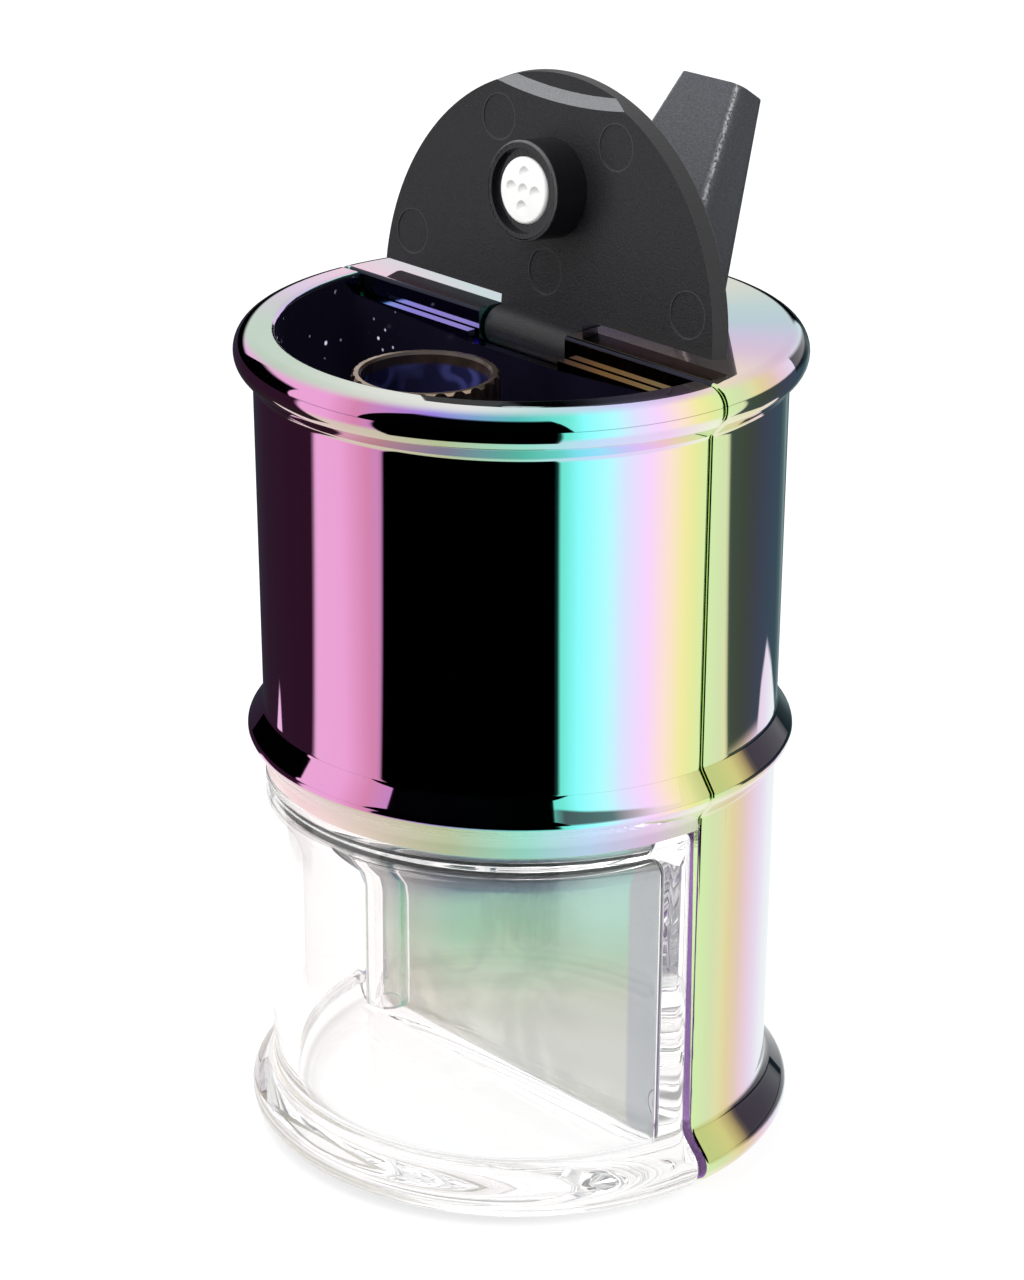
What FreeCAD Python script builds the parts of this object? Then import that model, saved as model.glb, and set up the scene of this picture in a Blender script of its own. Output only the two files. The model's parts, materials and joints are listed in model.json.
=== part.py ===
import FreeCAD, Part
import math
import os

# Barrel-shaped desktop vaporiser with a water glass, in millimetres.
# Origin on the floor at the barrel's axis, +Z up, the water glass towards -Y.

V = FreeCAD.Vector

# Barrel outline, shared by both shells and the water glass
barrel_height = 103.8
wall_spread = 0.75
top_bead_radius = 2.7
top_bead_reach = 2.25
top_bead_flank = 44.0
mid_bead_centre = 53.6
mid_bead_radius = 1.2
mid_bead_reach = 1.95
mid_bead_flank = 36.0
foot_bead_centre = 4.3
foot_bead_radius = 2.3
foot_bead_reach = 2.9
foot_bead_flank = 43.0
foot_bead_tuck = 60.0
bead_fillet = 1.2
foot_fillet = 3.0
seam_round = 0.5
seam_gap = 0.3

# Rear shell and the plate that closes it
shell_wall = 2.0
top_plate = 2.4
base_plate = 2.0
plate_thickness = 2.2
plate_fit = 0.12
boss_radius = 2.3
boss_cell_gap = 0.45
plate_screw_margin = 9.0

# Front shell with its well
rim_wall = 2.9
well_depth = 31.8
rim_edge_round = 0.8
floor_thickness = 2.4
back_wall = 1.2
front_lip_drop = 4.6
shell_screw_rise = 12.0
shell_screw_spread = 21.0
shell_boss_length = 9.0

# Lid and hinge, the lid drawn shut and then swung open
lid_side_gap = 0.4
lid_thickness = 2.5
lid_draft = 0.4
lid_edge_round = 0.5
lid_flush = 0.05
lid_rest_gap = 0.05
lid_back_gap = 0.8
lid_open_angle = 96.0
scoop_half_width = 10.2
scoop_edge = 26.0
scoop_sag = 1.0
scoop_slope = 1.4
scoop_depth = 0.9
pin_mark_radius = 2.7
pin_mark_depth = 0.15
far_mark_spread = 9.9
far_mark_place = 21.6
near_mark_spread = 23.6
near_mark_place = 5.0
hinge_setback = 2.95
hinge_drop = 2.5
knuckle_width = 14.0
knuckle_side_gap = 0.4
knuckle_sweep_gap = 0.55
knuckle_notch_extra = 1.2
hinge_wall = 1.8
cheek_width = 5.0
hinge_pin_radius = 0.8
pin_seat_fit = 0.02
pin_running_fit = 0.06

# Carb cap on the lid, over the heater
heater_setback = 15.0
cap_radius = 5.9
cap_height = 5.0
cap_rim = 0.9
cap_recess = 0.7
cap_edge_round = 0.4
insert_margin = 1.05
insert_seat = 1.6
insert_stand = 0.35
dimple_radius = 0.85
dimple_depth = 0.38
dimple_spread = 2.0
part_fit = 0.05

# Heater that screws into the well's floor
cap_side_gap = 1.6
sleeve_wall = 1.15
sleeve_top_gap = 0.3
flute_count = 24
flute_radius = 1.1
flute_depth = 0.38
flute_length = 11.0
sleeve_edge_round = 0.3
cup_clear = 0.9
cup_rim = 1.2
cup_bowl_depth = 4.2
base_height = 4.0
thread_radius = 3.4
thread_length = 4.6
thread_fit = 0.08
airway_radius = 0.9
bush_wall = 1.3
bush_flange = 1.0
bush_flange_reach = 1.6
bush_length = 8.0
insulator_height = 1.6
contact_radius = 1.6
contact_gap = 0.1

# Water glass
glass_top_gap = 0.4
glass_back_gap = 0.5
glass_wall = 2.8
glass_back_wall = 2.6
glass_floor = 6.5
glass_roof = 2.8
glass_corner = 1.9
glass_edge = 1.2
glass_inner_round = 2.4
stem_offset = 9.0
stem_setback = 14.0
stem_radius = 2.7
stem_wall = 1.0
stem_tip_height = 16.5
stem_flare = 4.0
stem_neck_step = 0.7
outlet_setback = 7.8
outlet_radius = 3.6

# Manifold between heater, water glass and duct
manifold_plate = 2.0
manifold_margin = 3.2
channel_radius = 1.8
gasket_thickness = 0.8
gasket_width = 1.8
gasket_fit = 0.02

# Duct and mouthpiece
duct_radius = 3.5
duct_wall = 1.0
duct_rise = 3.6
duct_bend = 7.0
spigot_radius = 4.8
spigot_length = 8.0
spigot_fit = 0.15
spigot_bore = 2.6
collar_wall = 1.8
collar_floor = 2.0
seal_groove = 1.1
seal_wire = 0.55
seal_fit = 0.05
mouth_lift_gap = 0.05
mouth_base_front_width = 21.4
mouth_base_back_width = 24.0
mouth_base_depth = 9.4
mouth_tip_width = 10.5
mouth_tip_depth = 5.4
mouth_tip_height = 24.4
mouth_tip_setback = 16.8
mouth_tip_slope = 34.0
mouth_base_round = 2.2
mouth_tip_round = 1.6
mouth_slot_width = 6.2
mouth_slot_depth = 2.4
mouth_slot_flat = 0.2

# Battery and electronics in the rear half
cell_radius = 9.2
cell_length = 65.2
cell_duct_gap = 0.2
cell_wall_gap = 0.98
cell_button_radius = 3.2
cell_button_height = 1.2
cradle_wall = 1.0
cradle_fit = 0.1
cradle_end = 1.6
tab_width = 4.2
tab_thickness = 0.3
board_width = 20.0
board_thickness = 1.2
board_duct_gap = 2.15
board_margin = 1.5
board_head = 5.0
rail_width = 2.4
rail_grip = 1.0
rail_fit = 0.1
usb_height = 18.0
usb_width = 8.94
usb_thickness = 3.26
usb_flat = 0.16
usb_skin = 0.35
usb_tongue = 0.7
usb_recess = 0.4
usb_port_gap = 0.3
button_height = 77.0
button_radius = 5.0
button_fit = 0.2
button_proud = 0.7
button_flange = 1.0
button_flange_reach = 0.9
button_dome = 0.4
button_travel = 0.6
ring_width = 1.6
ring_proud = 0.3
switch_side = 6.0
switch_body = 1.6
switch_height = 2.4
switch_plunger_radius = 1.6
switch_gap = 0.1

# Screws
screw_radius = 1.0
screw_head_radius = 1.9
screw_head_height = 1.3
screw_length = 9.0
screw_socket_radius = 0.7
screw_socket_depth = 0.7
screw_hole_fit = 0.15
screw_tip_room = 1.0

# How far a cutting tool runs past a face, and how near an edge counts as on a plane
cut_past = 1.0
match = 0.001

# The cell stands between the plate and the duct, and the barrel is sized round it
cradle_side = cell_radius + cradle_fit + cradle_wall
cell_place = (-(duct_radius + cell_duct_gap + cradle_side), plate_thickness + cradle_side)
cell_low = base_plate + cradle_end + cradle_fit + tab_thickness
wall_radius_foot = math.hypot(*cell_place) + cell_radius + cell_wall_gap + shell_wall
wall_radius_top = wall_radius_foot + wall_spread
beyond = 2 * (barrel_height + wall_radius_top)


def wall_radius(height):
    return wall_radius_foot + wall_spread * height / barrel_height


# Button, switch, board and duct stand one behind the other from the barrel's back wall
ring_back = wall_radius(button_height) - shell_wall
flange_front = ring_back - part_fit
flange_back = flange_front - button_flange
switch_end = flange_back - button_travel - switch_gap
board_back = switch_end - switch_height
board_setback = board_back - board_thickness
board_top = button_height + switch_side / 2 + board_head
mouth_setback = board_setback - board_duct_gap - duct_radius
duct_bore = duct_radius - duct_wall

# Lid, hinge and well
well_radius = wall_radius_top - rim_wall
lid_radius = well_radius - lid_side_gap
floor_top = barrel_height - well_depth
floor_low = floor_top - floor_thickness
lid_outer = barrel_height - lid_flush
lid_inner = lid_outer - lid_thickness
ledge_height = lid_inner - lid_rest_gap
hinge_height = barrel_height - hinge_drop
knuckle_radius = hinge_drop - lid_flush
slot_half = knuckle_width / 2 + knuckle_side_gap
slot_back = hinge_setback + knuckle_radius + knuckle_sweep_gap
slot_floor = hinge_height - knuckle_radius - knuckle_sweep_gap
hinge_block_half = slot_half + cheek_width
hinge_block_low = slot_floor - hinge_wall
back_wall_front = -(seam_gap + back_wall)

# Heater, from its bush in the floor up to the cap
insert_radius = cap_radius - cap_rim - insert_margin
sleeve_bore = cap_radius + cap_side_gap
sleeve_radius = sleeve_bore + sleeve_wall
bush_bore = thread_radius + thread_fit
bush_outer = bush_bore + bush_wall
bush_top = floor_top + bush_flange
bush_low = bush_top - bush_length
heater_low = bush_top + part_fit
heater_body = heater_low + base_height
sleeve_top = lid_inner - sleeve_top_gap
cap_low = lid_inner - cap_height
cup_top = cap_low - cup_clear

# Water glass, manifold and duct
front_foot = mid_bead_centre - front_lip_drop
glass_top = front_foot - glass_top_gap
stem_place = (-stem_offset, -stem_setback)
stem_bore = stem_radius - stem_wall
stem_neck = stem_radius + stem_neck_step
manifold_low = glass_top + gasket_thickness
duct_height = manifold_low + manifold_plate + duct_radius + duct_rise
shell_screw_height = front_foot + shell_screw_rise
seal_height = barrel_height - spigot_length / 2


def box(low, high):
    size = V(*high) - V(*low)
    return Part.makeBox(size.x, size.y, size.z, V(*low))


def rod(radius, start, end):
    path = V(*end) - V(*start)
    return Part.makeCylinder(radius, path.Length, V(*start), path)


def joined(pieces):
    return pieces[0].multiFuse(pieces[1:]).removeSplitter()


# Everything in front of a place on Y
def in_front_of(y_place):
    return box((-beyond, -beyond, -beyond), (beyond, y_place, beyond))


# Line through points on the profile plane, given as radius and height
def profile_line(first, second):
    return Part.LineSegment(V(first[0], 0, first[1]), V(second[0], 0, second[1])).toShape()


def profile_arc(first, middle, last):
    points = [V(r, 0, z) for r, z in (first, middle, last)]
    return Part.Arc(*points).toShape()


def turned(edges, angle=360.0, place=(0.0, 0.0)):
    solid = Part.Face(Part.Wire(edges)).revolve(V(0, 0, 0), V(0, 0, 1), angle)
    solid = Part.Solid(solid) if solid.ShapeType != "Solid" else solid
    if solid.Volume < 0:
        solid.reverse()
    solid.translate(V(place[0], place[1], 0))
    return solid


# Solid of revolution from a closed run of straight lines
def turned_polygon(points, place=(0.0, 0.0)):
    closed = list(points) + [points[0]]
    edges = [profile_line(a, b) for a, b in zip(closed, closed[1:])]
    return turned(edges, 360.0, place)


# Closed outline through flat corners, each rounded by an arc
def rounded_outline(corners, radius):
    corners = [V(*c) for c in corners]
    starts, ends, middles = [], [], []
    for index, corner in enumerate(corners):
        to_last = (corners[index - 1] - corner).normalize()
        to_next = (corners[(index + 1) % len(corners)] - corner).normalize()
        half = to_last.getAngle(to_next) / 2
        reach = radius / math.tan(half)
        inward = (to_last + to_next).normalize()
        starts.append(corner + to_last * reach)
        ends.append(corner + to_next * reach)
        middles.append(corner + inward * (radius / math.sin(half) - radius))
    edges = []
    for index in range(len(corners)):
        edges.append(Part.Arc(starts[index], middles[index], ends[index]).toShape())
        following = starts[(index + 1) % len(corners)]
        edges.append(Part.LineSegment(ends[index], following).toShape())
    return Part.Wire(edges)


def prism(wire, path):
    return Part.Face(wire).extrude(V(*path))


# One rolled bead: a round nose, two straight flanks and a hollow fillet into the wall
def bead_points(centre, radius, reach, fillet, flank):
    wall = wall_radius(centre)
    turn = math.radians(flank)
    run = (reach - (radius + fillet) * (1 - math.cos(turn))) / math.sin(turn)
    rise = (radius + fillet) * math.sin(turn) + run * math.cos(turn)
    side = [(wall, rise)]
    for share in (turn / 2, turn):
        side.append((wall + fillet * (1 - math.cos(share)), rise - fillet * math.sin(share)))
    middle = wall + reach - radius
    side.append((middle + radius * math.cos(turn), radius * math.sin(turn)))
    return {"middle": middle, "nose": (wall + reach, centre),
            "upper": [(r, centre + z) for r, z in side],
            "lower": [(r, centre - z) for r, z in side]}


# Fillet and flank of a bead, from the wall to the nose
def bead_side(points):
    wall, hollow, leave, touch = points
    return [profile_arc(wall, hollow, leave), profile_line(leave, touch)]


# Fillet and flank of a bead, from the nose back to the wall
def bead_return(points):
    wall, hollow, leave, touch = points
    return [profile_line(touch, leave), profile_arc(leave, hollow, wall)]


# Outer line of the barrel from one height to another, with the beads on its way
def barrel_edges(low, high):
    edges = []
    if low == 0:
        bead = bead_points(foot_bead_centre, foot_bead_radius, foot_bead_reach, foot_fillet, foot_bead_flank)
        tuck = math.radians(foot_bead_tuck)
        under = (bead["middle"] + foot_bead_radius * math.cos(tuck),
                 foot_bead_centre - foot_bead_radius * math.sin(tuck))
        start = (under[0] - under[1] * math.tan(tuck), 0)
        edges.append(profile_line(start, under))
        edges.append(profile_arc(under, bead["nose"], bead["upper"][3]))
        edges += bead_return(bead["upper"])
        at = bead["upper"][0]
    else:
        start = at = (wall_radius(low), low)
    if low < mid_bead_centre < high:
        bead = bead_points(mid_bead_centre, mid_bead_radius, mid_bead_reach, bead_fillet, mid_bead_flank)
        edges.append(profile_line(at, bead["lower"][0]))
        edges += bead_side(bead["lower"])
        edges.append(profile_arc(bead["lower"][3], bead["nose"], bead["upper"][3]))
        edges += bead_return(bead["upper"])
        at = bead["upper"][0]
    if high == barrel_height:
        bead = bead_points(barrel_height - top_bead_radius, top_bead_radius, top_bead_reach, bead_fillet,
                           top_bead_flank)
        end = (bead["middle"], barrel_height)
        edges.append(profile_line(at, bead["lower"][0]))
        edges += bead_side(bead["lower"])
        edges.append(profile_arc(bead["lower"][3], bead["nose"], end))
    else:
        end = (wall_radius(high), high)
        edges.append(profile_line(at, end))
    return edges, start, end


# Half of the barrel, the rear half with a turn of +180 and the front half with -180
def half_barrel(low, high, turn, setback):
    edges, start, end = barrel_edges(low, high)
    edges.append(profile_line(end, (0, high)))
    edges.append(profile_line((0, high), (0, low)))
    edges.append(profile_line((0, low), start))
    half = turned(edges, turn)
    return half.common(in_front_of(-setback)) if setback else half


# Edges of a solid that lie on a plane across Y, outside a given radius
def seam_edges(solid, y_place, least_radius):
    found = []
    for edge in solid.Edges:
        bounds = edge.BoundBox
        flat = max(abs(bounds.YMin - y_place), abs(bounds.YMax - y_place)) < match
        if flat and min(abs(bounds.XMin), abs(bounds.XMax)) > least_radius:
            found.append(edge)
    return found


# Hollow of a half barrel, a cone that keeps the wall's thickness
def half_hollow(low, high, wall, turn):
    points = [(0, low), (wall_radius(low) - wall, low), (wall_radius(high) - wall, high), (0, high)]
    closed = points + [points[0]]
    return turned([profile_line(a, b) for a, b in zip(closed, closed[1:])], turn)


# Places of the screws that hold the chassis plate, on X and Z
def plate_screw_places():
    spread = -cell_place[0] + cell_radius + cradle_fit + boss_cell_gap + boss_radius
    low = base_plate + plate_screw_margin
    high = hinge_block_low - plate_screw_margin
    return [(side * spread, z) for side in (-1, 1) for z in (low, high)]


def shell_screw_places():
    return [(side * shell_screw_spread, shell_screw_height) for side in (-1, 1)]


# Rear half barrel, open on the seam plane, with hinge block, collar, rails and bosses
def make_rear_shell():
    shell = half_barrel(0, barrel_height, 180, 0)
    shell = shell.makeFillet(seam_round, seam_edges(shell, 0, well_radius) + top_front_edges(shell))
    half_room = wall_radius(barrel_height) - shell_wall
    lintel = box((-half_room, -cut_past, hinge_block_low), (half_room, plate_thickness, barrel_height))
    hinge_back = slot_back + hinge_wall
    block = box((-hinge_block_half, -cut_past, hinge_block_low),
                (hinge_block_half, hinge_back, barrel_height))
    collar_radius = spigot_radius + spigot_fit + collar_wall
    collar_low = barrel_height - spigot_length - collar_floor
    collar = rod(collar_radius, (0, mouth_setback, collar_low), (0, mouth_setback, barrel_height))
    hollow = half_hollow(base_plate, barrel_height - top_plate, shell_wall, 180)
    hollow = hollow.cut([lintel, block, collar] + board_rails() + rear_bosses())
    slot = box((-slot_half, -cut_past, slot_floor), (slot_half, slot_back, barrel_height + cut_past))
    pin_hole = rod(hinge_pin_radius + pin_seat_fit,
                   (-hinge_block_half - cut_past, hinge_setback, hinge_height),
                   (hinge_block_half + cut_past, hinge_setback, hinge_height))
    socket = rod(spigot_radius + spigot_fit, (0, mouth_setback, barrel_height - spigot_length),
                 (0, mouth_setback, barrel_height + cut_past))
    duct_hole = rod(duct_radius + part_fit, (0, mouth_setback, collar_low - cut_past),
                    (0, mouth_setback, barrel_height))
    back = wall_radius_top + top_bead_reach
    ring_hole = rod(button_radius + button_fit + ring_width, (0, board_setback, button_height),
                    (0, back, button_height))
    pilot_end = screw_head_height + screw_length + screw_tip_room
    pilots = [rod(screw_radius, (x, 0, z), (x, pilot_end, z)) for x, z in plate_screw_places()]
    usb_port = prism(usb_outline(usb_port_gap, board_back), (0, back, 0))
    cuts = [hollow, slot, pin_hole, socket, duct_hole, ring_hole, usb_port] + pilots
    return shell.cut(cuts)


# Front edge of the flat top, which the lid swings over
def top_front_edges(solid):
    found = []
    for edge in solid.Edges:
        bounds = edge.BoundBox
        if bounds.ZMin > barrel_height - match and bounds.YMax < match:
            found.append(edge)
    return found


# Grooved rails that hold the circuit board's long edges
def board_rails():
    low, high = base_plate, board_top
    rails = []
    for side in (-1, 1):
        inner = side * (board_width / 2 - rail_grip)
        outer = side * (board_width / 2 - rail_grip + rail_width)
        left, right = sorted((inner, outer))
        reach = wall_radius_foot - shell_wall
        room = half_hollow(low, high, shell_wall / 2, 180)
        rail = box((left, board_setback - rail_width / 2, low), (right, reach, high))
        edge = side * (board_width / 2 + rail_fit)
        groove_left, groove_right = sorted((side * (board_width / 2 - rail_width), edge))
        groove = box((groove_left, board_setback - rail_fit, low - cut_past),
                     (groove_right, board_back + rail_fit, high + cut_past))
        rails.append(rail.common(room).cut(groove))
    return rails


# Screw bosses that stand on the inside of the barrel's wall
def rear_bosses():
    bosses = []
    for x, z in plate_screw_places():
        room = half_hollow(base_plate, barrel_height - top_plate, shell_wall / 2, 180)
        post = rod(boss_radius, (x, plate_thickness, z), (x, wall_radius_top, z))
        bosses.append(post.common(room))
    return bosses


def usb_outline(gap, y_place):
    half_wide = usb_width / 2 + gap
    half_high = usb_thickness / 2 + gap
    corners = [(-half_wide, y_place, usb_height - half_high), (half_wide, y_place, usb_height - half_high),
               (half_wide, y_place, usb_height + half_high), (-half_wide, y_place, usb_height + half_high)]
    return rounded_outline(corners, half_high - usb_flat)


# Flat wall between the rear half and the glass, set into the rear shell's mouth
def make_chassis_plate():
    low = base_plate + plate_fit
    high = hinge_block_low - plate_fit
    foot_half = wall_radius(low) - shell_wall - plate_fit
    head_half = wall_radius(high) - shell_wall - plate_fit
    corners = [V(-foot_half, 0, low), V(foot_half, 0, low), V(head_half, 0, high), V(-head_half, 0, high)]
    outline = Part.makePolygon(corners + [corners[0]])
    plate = prism(outline, (0, plate_thickness, 0))
    front, back = -cut_past, plate_thickness + cut_past
    holes = [rod(screw_radius + screw_hole_fit, (x, front, z), (x, back, z))
             for x, z in plate_screw_places() + shell_screw_places()]
    holes += [rod(screw_head_radius + screw_hole_fit, (x, front, z), (x, screw_head_height, z))
              for x, z in plate_screw_places()]
    holes.append(rod(duct_radius + part_fit, (0, front, duct_height), (0, back, duct_height)))
    return plate.cut(holes)


# Upper front half with its rim, well, floor and the space under the floor
def make_front_shell():
    shell = half_barrel(front_foot, barrel_height, -180, seam_gap)
    shell = shell.makeFillet(seam_round, seam_edges(shell, -seam_gap, well_radius))
    rim = [(0, floor_top), (well_radius, floor_top), (well_radius, barrel_height - rim_edge_round)]
    flare = rim_edge_round * (1 - math.sqrt(0.5))
    edges = [profile_line(rim[0], rim[1]), profile_line(rim[1], rim[2])]
    edges.append(profile_arc(rim[2], (well_radius + flare, barrel_height - flare),
                             (well_radius + rim_edge_round, barrel_height)))
    above = barrel_height + cut_past
    edges.append(profile_line((well_radius + rim_edge_round, barrel_height),
                              (well_radius + rim_edge_round, above)))
    edges.append(profile_line((well_radius + rim_edge_round, above), (0, above)))
    edges.append(profile_line((0, above), rim[0]))
    whole_well = turned(edges, -180)
    well = whole_well.common(in_front_of(back_wall_front))
    over_ledge = whole_well.common(box((-beyond, -beyond, ledge_height), (beyond, 0, beyond)))
    notch_half = slot_half + knuckle_side_gap
    notch = box((-notch_half, back_wall_front - cut_past, ledge_height - knuckle_notch_extra),
                (notch_half, 0, barrel_height))
    under = half_hollow(front_foot - cut_past, floor_low, shell_wall, -180)
    under = under.common(in_front_of(back_wall_front))
    bush_hole = rod(bush_outer + part_fit, (0, -heater_setback, floor_low - cut_past),
                    (0, -heater_setback, floor_top + cut_past))
    bosses = [rod(boss_radius, (x, 0, z), (x, -shell_boss_length, z)) for x, z in shell_screw_places()]
    shell = shell.cut([well, over_ledge, notch, under.cut(bosses), bush_hole])
    pilot_end = plate_thickness - screw_length - screw_tip_room
    pilots = [rod(screw_radius, (x, 0, z), (x, pilot_end, z)) for x, z in shell_screw_places()]
    duct_hole = rod(duct_radius + part_fit, (0, back_wall_front - cut_past, duct_height), (0, 0, duct_height))
    return shell.cut(pilots + [duct_hole])


# Shape of the scoop at one depth below the lid's inner face, arc side towards the hinge
def scoop_outline(edge_place, depth):
    far = -(lid_radius + cut_past)
    height = lid_inner + depth
    reach = scoop_half_width + scoop_slope
    left, right = V(-reach, -edge_place, height), V(reach, -edge_place, height)
    middle = V(0, -edge_place + scoop_sag, height)
    arc = Part.Arc(left, middle, right).toShape()
    corners = [right, V(reach, far, height), V(-reach, far, height), left]
    sides = [Part.LineSegment(a, b).toShape() for a, b in zip(corners, corners[1:])]
    return Part.Wire([arc] + sides)


# Round marks of the mould's pins on the lid's inner face
def pin_mark_places():
    far = [(side * far_mark_spread, -far_mark_place) for side in (-1, 1)]
    near = [(side * near_mark_spread, -near_mark_place) for side in (-1, 0, 1)]
    return far + near


# A piece of the lid, drawn shut, swung open about the hinge
def swung_open(piece):
    piece.rotate(V(0, hinge_setback, hinge_height), V(1, 0, 0), -lid_open_angle)
    return piece


def make_lid():
    inner_radius = lid_radius - lid_draft
    shoulder = lid_outer - lid_edge_round
    bend = lid_edge_round * (1 - math.sqrt(0.5))
    edges = [profile_line((0, lid_inner), (inner_radius, lid_inner)),
             profile_line((inner_radius, lid_inner), (lid_radius, shoulder)),
             profile_arc((lid_radius, shoulder), (lid_radius - bend, lid_outer - bend),
                         (lid_radius - lid_edge_round, lid_outer)),
             profile_line((lid_radius - lid_edge_round, lid_outer), (0, lid_outer)),
             profile_line((0, lid_outer), (0, lid_inner))]
    plate = turned(edges, -180).common(in_front_of(-lid_back_gap))
    half = knuckle_width / 2
    tongue = box((-half, -lid_back_gap - lid_thickness, lid_inner), (half, hinge_setback, lid_outer))
    barrel = rod(knuckle_radius, (-half, hinge_setback, hinge_height), (half, hinge_setback, hinge_height))
    lid = joined([plate, tongue, barrel])
    scoop = Part.makeLoft([scoop_outline(scoop_edge - cut_past * scoop_slope / scoop_depth, -cut_past),
                           scoop_outline(scoop_edge + scoop_slope, scoop_depth)], True, True)
    marks = [rod(pin_mark_radius, (x, y, lid_inner - cut_past), (x, y, lid_inner + pin_mark_depth))
             for x, y in pin_mark_places()]
    bore = rod(hinge_pin_radius + pin_running_fit, (-half - cut_past, hinge_setback, hinge_height),
               (half + cut_past, hinge_setback, hinge_height))
    return swung_open(lid.cut([scoop, bore] + marks))


# Round boss under the lid, hollowed for the ceramic disc
def make_carb_cap():
    outer, low = cap_radius, cap_low
    bend = cap_edge_round * (1 - math.sqrt(0.5))
    recess_radius = cap_radius - cap_rim
    recess = low + cap_recess
    seat = recess + insert_seat
    edges = [profile_line((0, lid_inner), (outer, lid_inner)),
             profile_line((outer, lid_inner), (outer, low + cap_edge_round)),
             profile_arc((outer, low + cap_edge_round), (outer - bend, low + bend),
                         (outer - cap_edge_round, low)),
             profile_line((outer - cap_edge_round, low), (recess_radius, low)),
             profile_line((recess_radius, low), (recess_radius, recess)),
             profile_line((recess_radius, recess), (insert_radius + part_fit, recess)),
             profile_line((insert_radius + part_fit, recess), (insert_radius + part_fit, seat)),
             profile_line((insert_radius + part_fit, seat), (0, seat)),
             profile_line((0, seat), (0, lid_inner))]
    return swung_open(turned(edges, 360, (0, -heater_setback)))


# White disc with one dimple in the middle and four round it
def make_carb_insert():
    low = cap_low + insert_stand
    top = cap_low + cap_recess + insert_seat
    disc = rod(insert_radius, (0, -heater_setback, low), (0, -heater_setback, top))
    rim = [e for e in disc.Edges if abs(e.BoundBox.ZMax - low) < match]
    disc = disc.makeFillet(cap_edge_round, rim)
    ball_radius = (dimple_radius ** 2 + dimple_depth ** 2) / (2 * dimple_depth)
    ball_height = low + dimple_depth - ball_radius
    places = [(0, 0)] + [(dimple_spread * math.cos(turn * math.pi / 2),
                          dimple_spread * math.sin(turn * math.pi / 2)) for turn in range(4)]
    balls = [Part.makeSphere(ball_radius, V(x, y - heater_setback, ball_height)) for x, y in places]
    return swung_open(disc.cut(balls))


def make_hinge_pin():
    return rod(hinge_pin_radius, (-hinge_block_half, hinge_setback, hinge_height),
               (hinge_block_half, hinge_setback, hinge_height))


def make_atomizer_base():
    stub_low = heater_low - thread_length
    outer = sleeve_bore - part_fit
    return turned_polygon([(airway_radius, stub_low), (thread_radius, stub_low),
                           (thread_radius, heater_low), (outer, heater_low),
                           (outer, heater_body), (airway_radius, heater_body)], (0, -heater_setback))


# Fluted grip ring round the heater
def make_atomizer_sleeve():
    bend = sleeve_edge_round
    points = [(sleeve_bore, heater_low), (sleeve_radius, heater_low), (sleeve_radius, sleeve_top - bend),
              (sleeve_radius - bend, sleeve_top), (sleeve_bore + bend, sleeve_top),
              (sleeve_bore, sleeve_top - bend)]
    sleeve = turned_polygon(points, (0, -heater_setback))
    ring = sleeve_radius + flute_radius - flute_depth
    flutes = []
    for index in range(flute_count):
        turn = 2 * math.pi * index / flute_count
        x, y = ring * math.cos(turn), ring * math.sin(turn) - heater_setback
        flutes.append(rod(flute_radius, (x, y, sleeve_top - flute_length), (x, y, sleeve_top + cut_past)))
    return sleeve.cut(flutes)


# Glossy dish that the concentrate is put in
def make_heater_cup():
    outer = sleeve_bore - part_fit
    bowl = outer - cup_rim
    floor = cup_top - cup_bowl_depth
    ball = (bowl ** 2 + cup_bowl_depth ** 2) / (2 * cup_bowl_depth)
    turn = math.atan2(bowl, ball - cup_bowl_depth) / 2
    middle = (ball * math.sin(turn), floor + ball - ball * math.cos(turn))
    edges = [profile_line((0, heater_body), (outer, heater_body)),
             profile_line((outer, heater_body), (outer, cup_top)),
             profile_line((outer, cup_top), (bowl, cup_top)),
             profile_arc((bowl, cup_top), middle, (0, floor)),
             profile_line((0, floor), (0, heater_body))]
    return turned(edges, 360, (0, -heater_setback))


def make_socket_bush():
    flange = bush_outer + bush_flange_reach
    return turned_polygon([(bush_bore, bush_low), (bush_outer, bush_low), (bush_outer, floor_top),
                           (flange, floor_top), (flange, bush_top), (bush_bore, bush_top)],
                          (0, -heater_setback))


def make_socket_insulator():
    return turned_polygon([(contact_radius, bush_low), (bush_bore, bush_low),
                           (bush_bore, bush_low + insulator_height),
                           (contact_radius, bush_low + insulator_height)], (0, -heater_setback))


# Hollow contact, so that the vapour leaves through it
def make_centre_pin():
    top = heater_low - thread_length - contact_gap
    return turned_polygon([(airway_radius, bush_low), (contact_radius, bush_low),
                           (contact_radius, top), (airway_radius, top)], (0, -heater_setback))


# Clear half-round water glass, drawn as a block and hollowed
def make_glass_bubbler():
    block = half_barrel(0, glass_top, -180, glass_back_gap)
    block = block.makeFillet(glass_corner, seam_edges(block, -glass_back_gap, well_radius))
    upper = [e for e in block.Edges if e.BoundBox.ZMin > glass_top - match]
    block = block.makeFillet(glass_edge, upper)
    hollow = half_hollow(glass_floor, glass_top - glass_roof, glass_wall, -180)
    hollow = hollow.common(in_front_of(-glass_back_gap - glass_back_wall))
    hollow = hollow.makeFillet(glass_inner_round, hollow.Edges)
    x, y = stem_place
    intake = rod(stem_neck, (x, y, glass_top - 2 * glass_roof), (x, y, glass_top + cut_past))
    outlet = rod(outlet_radius, (0, -outlet_setback, glass_top - 2 * glass_roof),
                 (0, -outlet_setback, glass_top + cut_past))
    return block.cut([hollow, intake, outlet])


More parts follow.
